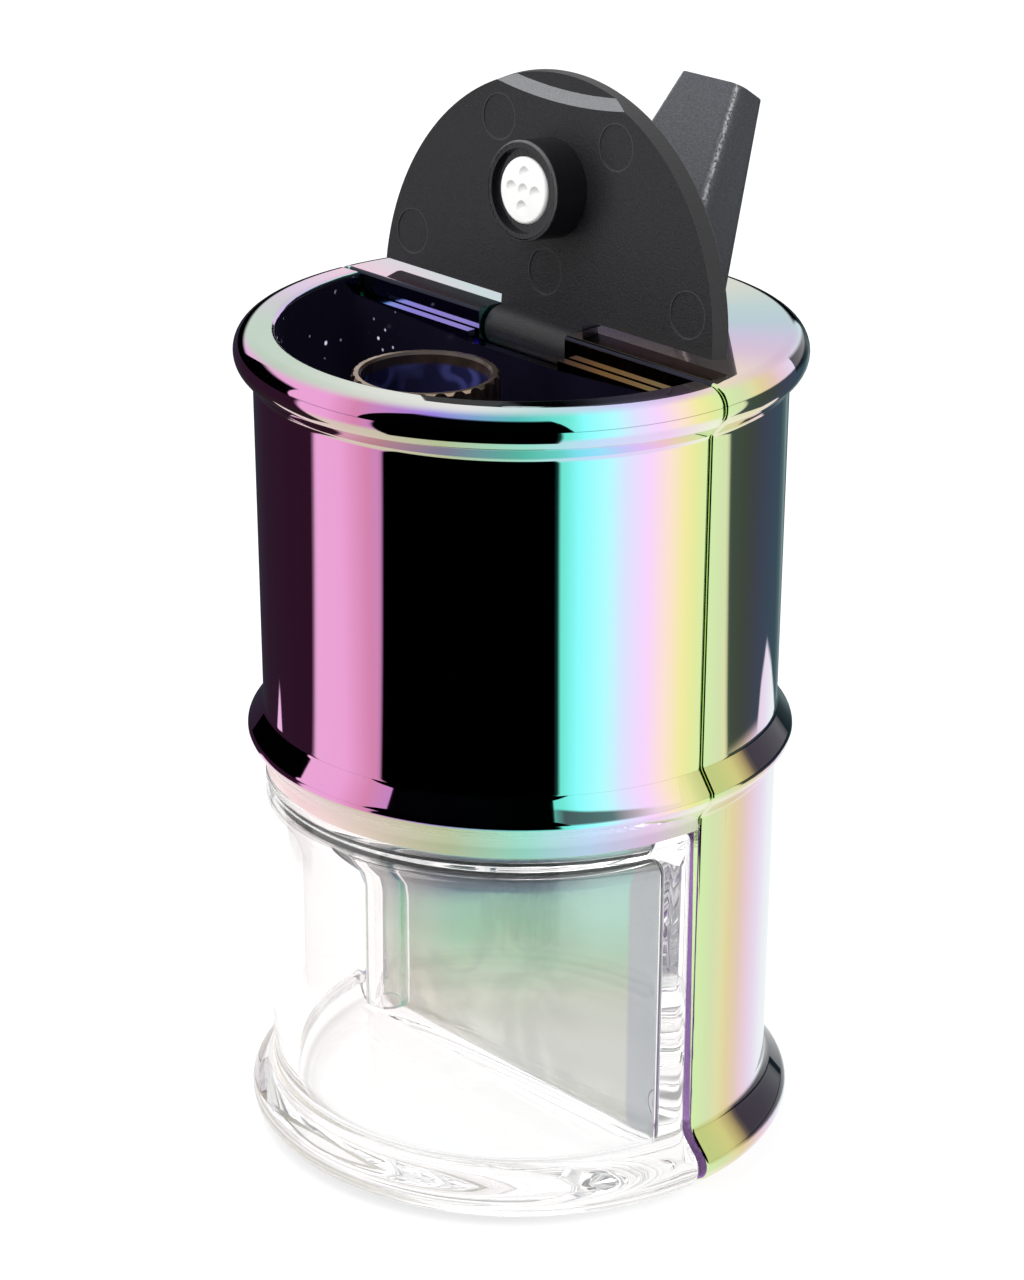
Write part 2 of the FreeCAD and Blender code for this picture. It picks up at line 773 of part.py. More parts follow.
# Tube fused into the roof of the water glass, with a trumpet flare
def make_downstem():
    roof = glass_top - glass_roof
    flare_low = roof - stem_flare
    bend = stem_flare * (1 - math.sqrt(0.5))
    edges = [profile_line((stem_bore, stem_tip_height), (stem_radius, stem_tip_height)),
             profile_line((stem_radius, stem_tip_height), (stem_radius, flare_low)),
             profile_arc((stem_radius, flare_low), (stem_radius + bend, roof - bend),
                         (stem_radius + stem_flare, roof)),
             profile_line((stem_radius + stem_flare, roof), (stem_neck, roof)),
             profile_line((stem_neck, roof), (stem_neck, glass_top)),
             profile_line((stem_neck, glass_top), (stem_bore, glass_top)),
             profile_line((stem_bore, glass_top), (stem_bore, stem_tip_height))]
    return turned(edges, 360, stem_place)


# Block under the well's floor, drilled from the heater to the glass and back to the duct
def make_manifold_block():
    room = shell_wall + part_fit
    front = back_wall_front - part_fit
    plate = half_hollow(manifold_low, manifold_low + manifold_plate, room, -180)
    plate = plate.common(in_front_of(front))
    x, y = stem_place
    bush_hole = bush_outer + part_fit
    left = x - channel_radius - manifold_margin
    right = bush_hole + manifold_margin
    near = -heater_setback - bush_hole - manifold_margin
    block = box((left, near, manifold_low), (right, front, floor_low))
    body = joined([plate, block])
    centre = -heater_setback
    cross = (bush_low + manifold_low) / 2
    cuts = [rod(bush_hole, (0, centre, bush_low), (0, centre, floor_low + cut_past)),
            rod(channel_radius, (0, centre, cross), (0, centre, bush_low + cut_past)),
            rod(channel_radius, (0, centre, cross), (x, y, cross)),
            rod(channel_radius, (x, y, manifold_low - cut_past), (x, y, cross)),
            rod(duct_bore, (0, -outlet_setback, manifold_low - cut_past), (0, -outlet_setback, duct_height)),
            rod(duct_bore, (0, -outlet_setback, duct_height), (0, 0, duct_height))]
    return body.cut(cuts)


# Silicone rings between the manifold and the two ports of the water glass
def make_port_gaskets():
    rings = []
    for radius, place in ((stem_neck, stem_place), (outlet_radius, (0, -outlet_setback))):
        low = glass_top + gasket_fit
        rings.append(turned_polygon([(radius, low), (radius + gasket_width, low),
                                     (radius + gasket_width, manifold_low), (radius, manifold_low)],
                                    place))
    return Part.makeCompound(rings)


# Elbow from the manifold's back to the mouthpiece's collar
def make_air_duct():
    start = back_wall_front - part_fit
    top = barrel_height - spigot_length
    bend_start = V(0, mouth_setback - duct_bend, duct_height)
    bend_end = V(0, mouth_setback, duct_height + duct_bend)
    slack = duct_bend * math.sqrt(0.5)
    bend_middle = V(0, mouth_setback - duct_bend + slack, duct_height + duct_bend - slack)
    path = Part.Wire([Part.LineSegment(V(0, start, duct_height), bend_start).toShape(),
                      Part.Arc(bend_start, bend_middle, bend_end).toShape(),
                      Part.LineSegment(bend_end, V(0, mouth_setback, top)).toShape()])
    tubes = []
    for radius in (duct_radius, duct_bore):
        ring = Part.Wire(Part.makeCircle(radius, V(0, start, duct_height), V(0, 1, 0)))
        tubes.append(path.makePipeShell([ring], True, False))
    return tubes[0].cut(tubes[1])


# Four corners of a tapered section, centred on X
def taper_section(front_width, back_width, front, back):
    return [(-front_width / 2, front[0], front[1]), (front_width / 2, front[0], front[1]),
            (back_width / 2, back[0], back[1]), (-back_width / 2, back[0], back[1])]


# Wedge that leans back over the rim, with a slot for the lips and a round spigot below
def make_mouthpiece():
    low = barrel_height + mouth_lift_gap
    front = mouth_setback - mouth_base_depth / 2
    slope = math.radians(mouth_tip_slope)
    tip_front = (front + mouth_tip_setback, barrel_height + mouth_tip_height)
    tip_back = (tip_front[0] + mouth_tip_depth * math.cos(slope),
                tip_front[1] - mouth_tip_depth * math.sin(slope))
    base = taper_section(mouth_base_front_width, mouth_base_back_width,
                         (front, low), (front + mouth_base_depth, low))
    tip = taper_section(mouth_tip_width, mouth_tip_width, tip_front, tip_back)
    body = Part.makeLoft([rounded_outline(base, mouth_base_round),
                          rounded_outline(tip, mouth_tip_round)], True, True)
    spigot_low = barrel_height - spigot_length + mouth_lift_gap
    spigot = rod(spigot_radius, (0, mouth_setback, spigot_low), (0, mouth_setback, low))
    body = joined([body, spigot])
    middle = ((tip_front[0] + tip_back[0]) / 2, (tip_front[1] + tip_back[1]) / 2)
    run = (mouth_slot_depth / 2 * math.cos(slope), mouth_slot_depth / 2 * math.sin(slope))
    slot_tip = taper_section(mouth_slot_width, mouth_slot_width,
                             (middle[0] - run[0], middle[1] + run[1]),
                             (middle[0] + run[0], middle[1] - run[1]))
    square = 2 * spigot_bore
    slot_round = mouth_slot_depth / 2 - mouth_slot_flat
    slot_base = taper_section(square, square, (mouth_setback - spigot_bore, low),
                              (mouth_setback + spigot_bore, low))
    airway = Part.makeLoft([rounded_outline(slot_base, slot_round),
                            rounded_outline(slot_tip, slot_round)], True, True)
    bore = rod(spigot_bore, (0, mouth_setback, spigot_low - cut_past), (0, mouth_setback, low + cut_past))
    half_groove = seal_wire + seal_fit
    groove_low, groove_high = seal_height - half_groove, seal_height + half_groove
    inner, outer = spigot_radius - seal_groove, spigot_radius + cut_past
    groove = turned_polygon([(inner, groove_low), (outer, groove_low), (outer, groove_high),
                             (inner, groove_high)], (0, mouth_setback))
    return body.cut([airway, bore, groove])


def make_mouthpiece_seal():
    ring = spigot_radius + spigot_fit - seal_fit - seal_wire
    return Part.makeTorus(ring, seal_wire, V(0, mouth_setback, seal_height))


def make_battery_cell():
    x, y = cell_place
    can = rod(cell_radius, (x, y, cell_low), (x, y, cell_low + cell_length - cell_button_height))
    button = rod(cell_button_radius, (x, y, cell_low), (x, y, cell_low + cell_length))
    return joined([can, button])


# Open cradle on the chassis plate, with a floor and a lip under and over the cell
def make_battery_cradle():
    x, y = cell_place
    low = base_plate
    high = cell_low + cell_length + tab_thickness + cradle_fit + cradle_end
    trough = box((x - cradle_side, plate_thickness, low), (x + cradle_side, y, high))
    room = half_hollow(low, high, shell_wall + part_fit, 180)
    hollow = rod(cell_radius + cradle_fit, (x, y, low + cradle_end), (x, y, high - cradle_end))
    relief = [rod(boss_radius + cradle_fit, (sx, 0, sz), (sx, y, sz)) for sx, sz in plate_screw_places()]
    heads = [rod(screw_head_radius + screw_hole_fit, (sx, 0, sz), (sx, y, sz))
             for sx, sz in shell_screw_places()]
    return trough.common(room).cut([hollow] + relief + heads)


# Welded strips from the cell's ends to the circuit board
def make_battery_tabs():
    x, y = cell_place
    tabs = []
    right = -(duct_radius + cell_duct_gap)
    left = right - tab_width
    near = y + part_fit
    for low in (cell_low - tab_thickness, cell_low + cell_length):
        high = low + tab_thickness
        pad = box((x - tab_width / 2, near, low), (right, near + tab_width, high))
        arm = box((left, near, low), (right, board_setback, high))
        tabs.append(joined([pad, arm]))
    return Part.makeCompound(tabs)


def make_circuit_board():
    low = base_plate + board_margin
    half = board_width / 2
    corners = [(-half, board_setback, low), (half, board_setback, low),
               (half, board_setback, board_top), (-half, board_setback, board_top)]
    return prism(rounded_outline(corners, board_thickness / 2), (0, board_thickness, 0))


# Metal can of the charging socket with its contact tongue
def make_usb_socket():
    start = board_back
    end = wall_radius(usb_height) - usb_recess
    can = prism(usb_outline(0, start), (0, end - start, 0))
    room = prism(usb_outline(-usb_skin, start + usb_skin), (0, end - start, 0))
    half = usb_width / 2 - usb_thickness / 2
    tongue = box((-half, start, usb_height - usb_tongue / 2),
                 (half, end - 2 * usb_skin, usb_height + usb_tongue / 2))
    return joined([can.cut(room), tongue])


def make_light_ring():
    outer = button_radius + button_fit + ring_width - part_fit
    front = wall_radius(button_height) + ring_proud
    ring = rod(outer, (0, ring_back, button_height), (0, front, button_height))
    bore = rod(button_radius + button_fit, (0, ring_back - cut_past, button_height),
               (0, front + cut_past, button_height))
    return ring.cut(bore)


# Round push button with a domed face and a flange behind the ring
def make_power_button():
    front = wall_radius(button_height) + button_proud
    ball = (button_radius ** 2 + button_dome ** 2) / (2 * button_dome)
    stem = rod(button_radius, (0, flange_front, button_height), (0, front, button_height))
    dome = Part.makeSphere(ball, V(0, front - ball, button_height))
    flange = rod(button_radius + button_flange_reach, (0, flange_back, button_height),
                 (0, flange_front, button_height))
    return joined([stem.common(dome), flange])


def make_tact_switch():
    half = switch_side / 2
    body = box((-half, board_back, button_height - half),
               (half, board_back + switch_body, button_height + half))
    plunger = rod(switch_plunger_radius, (0, board_back, button_height), (0, switch_end, button_height))
    return joined([body, plunger])


# Pan-head screw along Y, the head's underside at the given place
def screw(x, y, z, direction):
    shank = rod(screw_radius, (x, y, z), (x, y + direction * screw_length, z))
    head = rod(screw_head_radius, (x, y, z), (x, y - direction * screw_head_height, z))
    top = y - direction * screw_head_height
    socket = rod(screw_socket_radius, (x, top, z), (x, top + direction * screw_socket_depth, z))
    return joined([shank, head]).cut(socket)


def make_plate_screws():
    return Part.makeCompound([screw(x, screw_head_height, z, 1) for x, z in plate_screw_places()])


def make_shell_screws():
    return Part.makeCompound([screw(x, plate_thickness, z, -1) for x, z in shell_screw_places()])


makers = {
    "rear_shell": make_rear_shell,
    "chassis_plate": make_chassis_plate,
    "front_shell": make_front_shell,
    "manifold_block": make_manifold_block,
    "port_gaskets": make_port_gaskets,
    "socket_bush": make_socket_bush,
    "socket_insulator": make_socket_insulator,
    "centre_pin": make_centre_pin,
    "air_duct": make_air_duct,
    "battery_cell": make_battery_cell,
    "battery_cradle": make_battery_cradle,
    "battery_tabs": make_battery_tabs,
    "circuit_board": make_circuit_board,
    "usb_socket": make_usb_socket,
    "tact_switch": make_tact_switch,
    "light_ring": make_light_ring,
    "plate_screws": make_plate_screws,
    "shell_screws": make_shell_screws,
    "hinge_pin": make_hinge_pin,
    "power_button": make_power_button,
    "lid": make_lid,
    "carb_cap": make_carb_cap,
    "carb_insert": make_carb_insert,
    "glass_bubbler": make_glass_bubbler,
    "downstem": make_downstem,
    "atomizer_base": make_atomizer_base,
    "atomizer_sleeve": make_atomizer_sleeve,
    "heater_cup": make_heater_cup,
    "mouthpiece": make_mouthpiece,
    "mouthpiece_seal": make_mouthpiece_seal,
}

os.makedirs("parts", exist_ok=True)
for node, make in makers.items():
    shape = make()
    shape.exportStep(os.path.join("parts", node + ".step"))
    print(node, len(shape.Solids), "solids", round(shape.Volume, 1), "mm3", shape.isValid())
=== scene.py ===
import json
import math

import bmesh
import bpy
from mathutils import Matrix, Vector, noise


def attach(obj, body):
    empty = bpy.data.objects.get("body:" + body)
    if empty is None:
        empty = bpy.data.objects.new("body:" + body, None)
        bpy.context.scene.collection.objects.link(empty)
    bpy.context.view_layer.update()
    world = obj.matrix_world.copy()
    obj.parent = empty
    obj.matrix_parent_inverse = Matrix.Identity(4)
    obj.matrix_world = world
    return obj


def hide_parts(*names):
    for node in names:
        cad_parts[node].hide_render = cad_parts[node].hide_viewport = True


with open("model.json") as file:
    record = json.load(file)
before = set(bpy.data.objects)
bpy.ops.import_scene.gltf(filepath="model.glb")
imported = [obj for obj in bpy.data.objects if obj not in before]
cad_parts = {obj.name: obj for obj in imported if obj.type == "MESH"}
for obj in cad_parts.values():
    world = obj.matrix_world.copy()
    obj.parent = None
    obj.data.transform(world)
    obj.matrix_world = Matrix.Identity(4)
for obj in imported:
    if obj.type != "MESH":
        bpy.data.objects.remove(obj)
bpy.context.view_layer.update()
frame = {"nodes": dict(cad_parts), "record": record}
bodyOf = {node: body for body, members in frame["record"]["behaviour"]["bodies"].items() for node in members}
slotOf = {part["node"]: part["material_slot"] for part in frame["record"]["subparts"]}
print("frame:", len(frame["nodes"]), "nodes")


def placed(name, data):
    thing = bpy.data.objects.new(name, data)
    bpy.context.scene.collection.objects.link(thing)
    return thing


# node helpers: most give back an output socket

def plug(tree, value, socket):
    if isinstance(value, bpy.types.NodeSocket):
        tree.links.new(value, socket)
    elif isinstance(value, tuple) and len(value) == 3:
        socket.default_value = (*value, 1.0)
    else:
        socket.default_value = value


def calc(tree, operation, first, second=0.0, third=0.0):
    node = tree.nodes.new("ShaderNodeMath")
    node.operation = operation
    for value, socket in zip((first, second, third), node.inputs):
        plug(tree, value, socket)
    return node.outputs[0]


def ramp(tree, factor, stops):
    node = tree.nodes.new("ShaderNodeValToRGB")
    elements = node.color_ramp.elements
    while len(elements) < len(stops):
        elements.new(1.0)
    for element, (place, colour) in zip(elements, stops):
        element.position = place
        element.color = (*colour, 1.0) if isinstance(colour, tuple) else (colour, colour, colour, 1.0)
    plug(tree, factor, node.inputs["Fac"])
    return node.outputs["Color"]


def mixColour(tree, factor, first, second, blend="MIX"):
    node = tree.nodes.new("ShaderNodeMix")
    node.data_type = "RGBA"
    node.blend_type = blend
    plug(tree, factor, node.inputs["Factor"])
    rgba = [s for s in node.inputs if s.type == "RGBA"]
    plug(tree, first, rgba[0])
    plug(tree, second, rgba[1])
    return [s for s in node.outputs if s.type == "RGBA"][0]


def step(tree, value, low, high):
    node = tree.nodes.new("ShaderNodeMapRange")
    node.interpolation_type = "SMOOTHSTEP"
    plug(tree, value, node.inputs["Value"])
    plug(tree, low, node.inputs["From Min"])
    plug(tree, high, node.inputs["From Max"])
    return node.outputs["Result"]


def noiseOf(tree, vector, scale, detail=2.0, roughness=0.5, distortion=0.0):
    node = tree.nodes.new("ShaderNodeTexNoise")
    plug(tree, vector, node.inputs["Vector"])
    node.inputs["Scale"].default_value = scale
    node.inputs["Detail"].default_value = detail
    node.inputs["Roughness"].default_value = roughness
    node.inputs["Distortion"].default_value = distortion
    return node.outputs["Fac"]


def bumpOf(tree, height, strength, depth):
    node = tree.nodes.new("ShaderNodeBump")
    node.inputs["Strength"].default_value = strength
    node.inputs["Distance"].default_value = depth
    plug(tree, height, node.inputs["Height"])
    return node.outputs["Normal"]


def places(tree):
    node = tree.nodes.new("ShaderNodeTexCoord")
    split = tree.nodes.new("ShaderNodeSeparateXYZ")
    tree.links.new(node.outputs["Object"], split.inputs[0])
    return node.outputs["Object"], split.outputs


def newFinish(name):
    finish = bpy.data.materials.new(name)
    finish.use_nodes = True
    tree = finish.node_tree
    shader = tree.nodes["Principled BSDF"]
    return finish, tree, shader


def around(tree, x, y):
    turn = calc(tree, "ARCTAN2", y, x)
    return calc(tree, "MULTIPLY_ADD", turn, 0.5 / math.pi, 0.5)


def onCircle(degrees):
    return degrees / 360.0 + 0.5


def roundRamp(tree, turn, stops):  # stops in degrees round the axis
    return ramp(tree, turn, [(onCircle(degrees), value) for degrees, value in stops])


def acrossRamp(tree, x, stops, span):  # stops in metres each side of the middle
    share = calc(tree, "MULTIPLY_ADD", x, 1.0 / span, 0.5)
    return ramp(tree, share, [(spot / span + 0.5, tone) for spot, tone in stops])


def both(tree, first, second):
    return calc(tree, "MULTIPLY", first, second)


def distance(tree, across, along):
    return calc(tree, "SQRT", calc(tree, "ADD", both(tree, across, across), both(tree, along, along)))


def facing(tree):
    split = tree.nodes.new("ShaderNodeSeparateXYZ")
    tree.links.new(tree.nodes.new("ShaderNodeNewGeometry").outputs["Normal"], split.inputs[0])
    return split.outputs


def polish(shader, roughness, metallic=0.0, specular=0.5):
    shader.inputs["Roughness"].default_value = roughness
    shader.inputs["Metallic"].default_value = metallic
    shader.inputs["Specular IOR Level"].default_value = specular


def opened(finish):  # a made finish with its colour, to add to it
    tree = finish.node_tree
    shader = tree.nodes["Principled BSDF"]
    return tree, shader, shader.inputs["Base Color"].links[0].from_socket


def addWave(tree, place, shader, settings):
    wave = noiseOf(tree, place, settings["waveScale"], 1.0)
    normal = bumpOf(tree, wave, settings["waveStrength"], settings["waveDepth"])
    tree.links.new(normal, shader.inputs["Normal"])


white = (1.0, 1.0, 1.0)


# camera at the photograph's angle

cameraSettings = {
    "place": (0.30684, -0.28452, 0.23319),
    "forward": (-0.68104, 0.62844, -0.37582),
    "roll": 0.0024,
    "focalPixels": 3715.19,
    "imageHeight": 1280,
    "sensor": 36.0,
    "clipStart": 0.01,
}


def setCamera(settings):
    data = bpy.data.cameras.new("camera")
    data.sensor_width = settings["sensor"]
    data.lens = settings["sensor"] * settings["focalPixels"] / settings["imageHeight"]
    data.clip_start = settings["clipStart"]
    camera = placed("camera", data)
    turn = Vector(settings["forward"]).to_track_quat("-Z", "Y").to_matrix().to_4x4()
    roll = Matrix.Rotation(settings["roll"], 4, "Z")
    camera.matrix_world = Matrix.Translation(settings["place"]) @ turn @ roll
    bpy.context.scene.camera = camera


setCamera(cameraSettings)
bpy.context.scene.view_settings.view_transform = "Standard"
print("camera set")


# rainbow plating: colour runs round the barrel and pales on faces that look up; the hoops' upper flanks carry
# a painted reflection, mostly near black

platingSettings = {
    "turns": [  # degrees round the barrel, linear colour
        (-180, (0.30, 0.75, 0.65)), (-150, (0.55, 0.45, 0.85)), (-120, (0.78, 0.36, 0.72)),
        (-92, (0.82, 0.37, 0.66)), (-83, (0.83, 0.35, 0.66)), (-76, (0.66, 0.23, 0.42)),
        (-60, (0.32, 0.22, 0.75)), (-44, (0.10, 0.50, 0.50)), (-34, (0.16, 0.80, 0.66)),
        (-31, (0.25, 0.98, 0.98)), (-25, (0.45, 0.99, 1.0)), (-21, (0.72, 0.78, 1.0)),
        (-16, (0.95, 0.66, 1.0)), (-11, (0.98, 0.77, 0.64)), (-7, (0.90, 0.83, 0.37)),
        (-4, (0.78, 0.83, 0.34)), (0, (0.64, 0.84, 0.41)), (5, (0.65, 0.74, 0.42)),
        (8, (0.74, 0.72, 0.38)), (11, (0.75, 0.63, 0.33)), (15, (0.75, 0.56, 0.44)),
        (19, (0.78, 0.56, 0.66)), (25, (0.75, 0.64, 0.83)), (31, (0.76, 0.78, 0.85)),
        (60, (0.20, 0.80, 0.72)), (90, (0.80, 0.74, 0.30)), (115, (0.82, 0.42, 0.70)),
        (145, (0.40, 0.45, 0.92)), (165, (0.25, 0.80, 0.75)), (180, (0.30, 0.75, 0.65))],
    "pale": [  # the same on faces that look up
        (-180, (0.80, 0.53, 0.66)), (-160, (0.66, 0.52, 0.72)), (-148, (0.54, 0.52, 0.56)),
        (-132, (0.45, 0.59, 0.48)), (-100, (0.48, 0.59, 0.48)), (-70, (0.68, 0.70, 0.64)),
        (-54, (0.76, 0.76, 0.75)), (-38, (0.50, 0.71, 0.72)), (-22, (0.62, 0.62, 0.92)),
        (-9, (0.72, 0.48, 0.74)), (0, (0.80, 0.70, 0.52)), (12, (0.74, 0.58, 0.54)),
        (24, (0.63, 0.45, 0.61)), (36, (0.52, 0.46, 0.65)), (48, (0.39, 0.52, 0.60)),
        (60, (0.41, 0.56, 0.57)), (80, (0.60, 0.62, 0.52)), (100, (0.70, 0.54, 0.60)),
        (135, (0.54, 0.56, 0.70)), (160, (0.50, 0.64, 0.66)), (180, (0.80, 0.53, 0.66))],
    "hoopReflection": [  # painted reflection on the upper flanks of the hoops, mostly near black
        (-36, (0.06, 0.10, 0.10)), (-24, (0.07, 0.13, 0.13)), (-14, (0.80, 0.62, 0.70)),
        (-5, (0.62, 0.62, 0.26)), (2, (0.52, 0.60, 0.22)), (8, (0.64, 0.60, 0.23)),
        (12, (0.42, 0.32, 0.14)), (14.5, (0.045, 0.035, 0.05)), (30, (0.030, 0.026, 0.042)),
        (60, (0.03, 0.05, 0.06)), (80, (0.20, 0.50, 0.50))],
    "hooped": [(-38, 0.0), (-34, 1.0), (-18, 0.9), (-9, 0.3), (-6, 0.2), (-2, 1.0), (70, 1.0), (85, 0.0)],
    "hoopTop": [  # metres up to where the painted reflection on the flank ends
        (-36, 0.0556), (-30, 0.0552), (-10, 0.0544), (-8, 0.0544), (-6, 0.0600), (24, 0.0600), (30, 0.2000)],
    "under": [  # faces that look down
        (-180, (0.80, 0.70, 0.72)), (-130, (0.82, 0.70, 0.68)), (-95, (0.76, 0.55, 0.56)),
        (-75, (0.62, 0.52, 0.42)), (-58, (0.46, 0.52, 0.31)), (-42, (0.32, 0.74, 0.60)),
        (-28, (0.55, 0.74, 0.97)), (-14, (0.86, 0.62, 0.88)), (-3, (0.83, 0.88, 0.66)),
        (8, (0.74, 0.68, 0.40)), (20, (0.80, 0.60, 0.66)), (60, (0.40, 0.78, 0.72)),
        (100, (0.80, 0.66, 0.50)), (140, (0.60, 0.55, 0.90)), (180, (0.80, 0.70, 0.72))],
    "paleLean": (0.70, 0.97),  # these leans are the height of a face's normal
    "flankLean": (0.12, 0.36),
    "flankEnd": (0.86, 0.74),
    "underLean": (-0.08, -0.30),
    "flankEdge": (-0.0001, 0.0002),  # metres under the end of the painted reflection on the flank
    "roughness": 0.035,
    "lipRoughness": 0.3,
    "waveScale": 35.0,
    "waveStrength": 0.35,
    "waveDepth": 0.00006,
}


def makePlating(settings):
    finish, tree, shader = newFinish("rainbowPlating")
    place, (x, y, z) = places(tree)
    turn = around(tree, x, y)
    lean = facing(tree)[2]
    parts = ("turns", "pale", "hoopReflection", "under")
    wall, pale, hoopReflection, under = [roundRamp(tree, turn, settings[part]) for part in parts]
    shown = mixColour(tree, step(tree, lean, *settings["paleLean"]), wall, pale)
    room = calc(tree, "SUBTRACT", roundRamp(tree, turn, settings["hoopTop"]), z)
    slope = both(tree, step(tree, lean, *settings["flankLean"]), step(tree, lean, *settings["flankEnd"]))
    flank = both(tree, slope, step(tree, room, *settings["flankEdge"]))
    # the hoops' upper flanks take the painted reflection
    shown = mixColour(tree, both(tree, flank, roundRamp(tree, turn, settings["hooped"])), shown, hoopReflection)
    shown = mixColour(tree, step(tree, lean, *settings["underLean"]), shown, under)
    tree.links.new(shown, shader.inputs["Base Color"])
    polish(shader, settings["roughness"], 1.0)
    addWave(tree, place, shader, settings)
    return finish


def makeLip(settings):  # the plain edge under the waist, too narrow to mirror anything but the table: that reflection is painted into its colour
    finish, tree, shader = newFinish("lipPaintedReflection")
    place, (x, y, z) = places(tree)
    tree.links.new(roundRamp(tree, around(tree, x, y), settings["under"]), shader.inputs["Base Color"])
    polish(shader, settings["lipRoughness"])
    return finish


panelSettings = {  # satin plate behind the glass: its colours climb from grey to a dark blue band
    "rise": [  # metres up the plate at its middle, linear colour
        (0.008, (0.66, 0.66, 0.61)), (0.015, (0.60, 0.64, 0.52)), (0.020, (0.46, 0.64, 0.44)),
        (0.025, (0.31, 0.63, 0.39)), (0.0295, (0.27, 0.60, 0.45)), (0.0322, (0.18, 0.42, 0.38)),
        (0.0346, (0.06, 0.20, 0.27)), (0.041, (0.02, 0.07, 0.13))],
    "slant": -0.4,
    "span": 0.050,
    "cloud": (60.0, 1.5, 0.5, 0.8),  # scale, detail, roughness, distortion
    "cloudLift": 0.008,
    "warm": (0.68, 0.60, 0.54), "warmFrom": (-0.008, -0.022), "warmShare": 0.5,
    "cool": (0.53, 0.86, 0.78), "coolFrom": (0.004, 0.016), "coolHeight": (0.019, 0.027), "coolShare": 0.65,
    "wisp": (0.84, 0.84, 0.86), "wispTo": (0.016, 0.006), "smoke": (70.0, 3.0, 0.6, 0.7),
    "wispBand": [(0.40, 0.0), (0.47, 0.8), (0.50, 1.0), (0.60, 0.0)],
    # a painted grey band at the right: the glass's back corner seen over the plate, as painted refraction
    "edge": (0.48, 0.51, 0.54), "edgeFrom": (0.0200, 0.0207),
    "roughness": 0.42,
}


def makePanel(settings):
    finish, tree, shader = newFinish("satinPanel")
    place, (x, y, z) = places(tree)
    span, swing = settings["span"], settings["cloudLift"]
    lift = calc(tree, "MULTIPLY_ADD", noiseOf(tree, place, *settings["cloud"]), swing, -swing / 2)
    level = calc(tree, "ADD", calc(tree, "MULTIPLY_ADD", x, settings["slant"], z), lift)
    stops = [(height / span, tone) for height, tone in settings["rise"]]
    shown = ramp(tree, calc(tree, "DIVIDE", level, span), stops)
    warmth = both(tree, step(tree, x, *settings["warmFrom"]), settings["warmShare"])
    shown = mixColour(tree, warmth, shown, settings["warm"])
    coolness = both(tree, step(tree, x, *settings["coolFrom"]), step(tree, level, *settings["coolHeight"]))
    shown = mixColour(tree, both(tree, coolness, settings["coolShare"]), shown, settings["cool"])
    smoke = ramp(tree, noiseOf(tree, place, *settings["smoke"]), settings["wispBand"])
    smoked = both(tree, smoke, step(tree, x, *settings["wispTo"]))
    shown = mixColour(tree, smoked, shown, settings["wisp"], "MULTIPLY")
    # the grey band is painted refraction of the glass's back corner
    shown = mixColour(tree, step(tree, x, *settings["edgeFrom"]), shown, settings["edge"])
    tree.links.new(shown, shader.inputs["Base Color"])
    polish(shader, settings["roughness"], 1.0)
    return finish


# plain metals and mouldings, each from two tones

toneSettings = {
    "spread": (0.3, 0.7), "detail": 3.0, "metalScale": 400.0, "platedScale": 60.0,
    "grainRoughness": 0.6, "grainBump": 0.6,
}


def twoTones(dark, light):
    low, high = toneSettings["spread"]
    return [(low, dark), (high, light)]


def makeMetal(name, dark, light, roughness, scale=toneSettings["metalScale"]):
    finish, tree, shader = newFinish(name)
    place = places(tree)[0]
    tone = noiseOf(tree, place, scale, toneSettings["detail"])
    tree.links.new(ramp(tree, tone, twoTones(dark, light)), shader.inputs["Base Color"])
    polish(shader, roughness, 1.0)
    return finish


def makeGrain(name, dark, light, roughness, scale, depth):
    finish, tree, shader = newFinish(name)
    place = places(tree)[0]
    grain = noiseOf(tree, place, scale, toneSettings["detail"], toneSettings["grainRoughness"])
    tree.links.new(ramp(tree, grain, twoTones(dark, light)), shader.inputs["Base Color"])
    polish(shader, roughness)
    tree.links.new(bumpOf(tree, grain, toneSettings["grainBump"], depth), shader.inputs["Normal"])
    return finish


wellSettings = {  # dark wall with painted glints on its left: bright dots that glow
    "dark": (0.0015, 0.0014, 0.004), "light": (0.004, 0.0035, 0.008), "roughness": 0.08, "specular": 0.15,
    "glintTone": (0.75, 0.75, 1.0),
    "glintScale": 430.0,
    "glintSize": (0.16, 0.07),
    "shareScale": 160.0,
    "glintShare": (0.48, 0.55),
    "glintsFrom": (-0.006, -0.013),
    "glint": 0.8,
}


def makeWell(settings):
    finish = makeMetal("darkWell", settings["dark"], settings["light"], settings["roughness"],
                       toneSettings["platedScale"])
    tree, shader, dark = opened(finish)
    place, (x, y, z) = places(tree)
    cells = tree.nodes.new("ShaderNodeTexVoronoi")
    cells.inputs["Scale"].default_value = settings["glintScale"]
    tree.links.new(place, cells.inputs["Vector"])
    dots = step(tree, cells.outputs["Distance"], *settings["glintSize"])
    chance = step(tree, noiseOf(tree, place, settings["shareScale"]), *settings["glintShare"])
    left = both(tree, step(tree, x, *settings["glintsFrom"]), chance)
    # painted glints: bright dots on the left of the well, glowing through the emission
    shown = mixColour(tree, both(tree, dots, left), dark, settings["glintTone"])
    tree.links.new(shown, shader.inputs["Base Color"])
    tree.links.new(shown, shader.inputs["Emission Color"])
    shader.inputs["Emission Strength"].default_value = settings["glint"]
    polish(shader, settings["roughness"], 0.0, settings["specular"])
    return finish


boreSettings = {  # brown under the rim, navy glaze further in, its lighter patches a painted reflection
    "dark": (0.020, 0.013, 0.010), "light": (0.050, 0.032, 0.024),
    "roughness": 0.25, "grainScale": 400.0, "grainDepth": 0.00001,
    "glazeAndReflection": [(0.42, (0.012, 0.012, 0.05)), (0.50, (0.05, 0.055, 0.20)), (0.56, (0.05, 0.055, 0.20)),
              (0.62, (0.014, 0.014, 0.06))],
    "patchScale": 230.0,
    "glazeFrom": (0.0998, 0.0992),
}


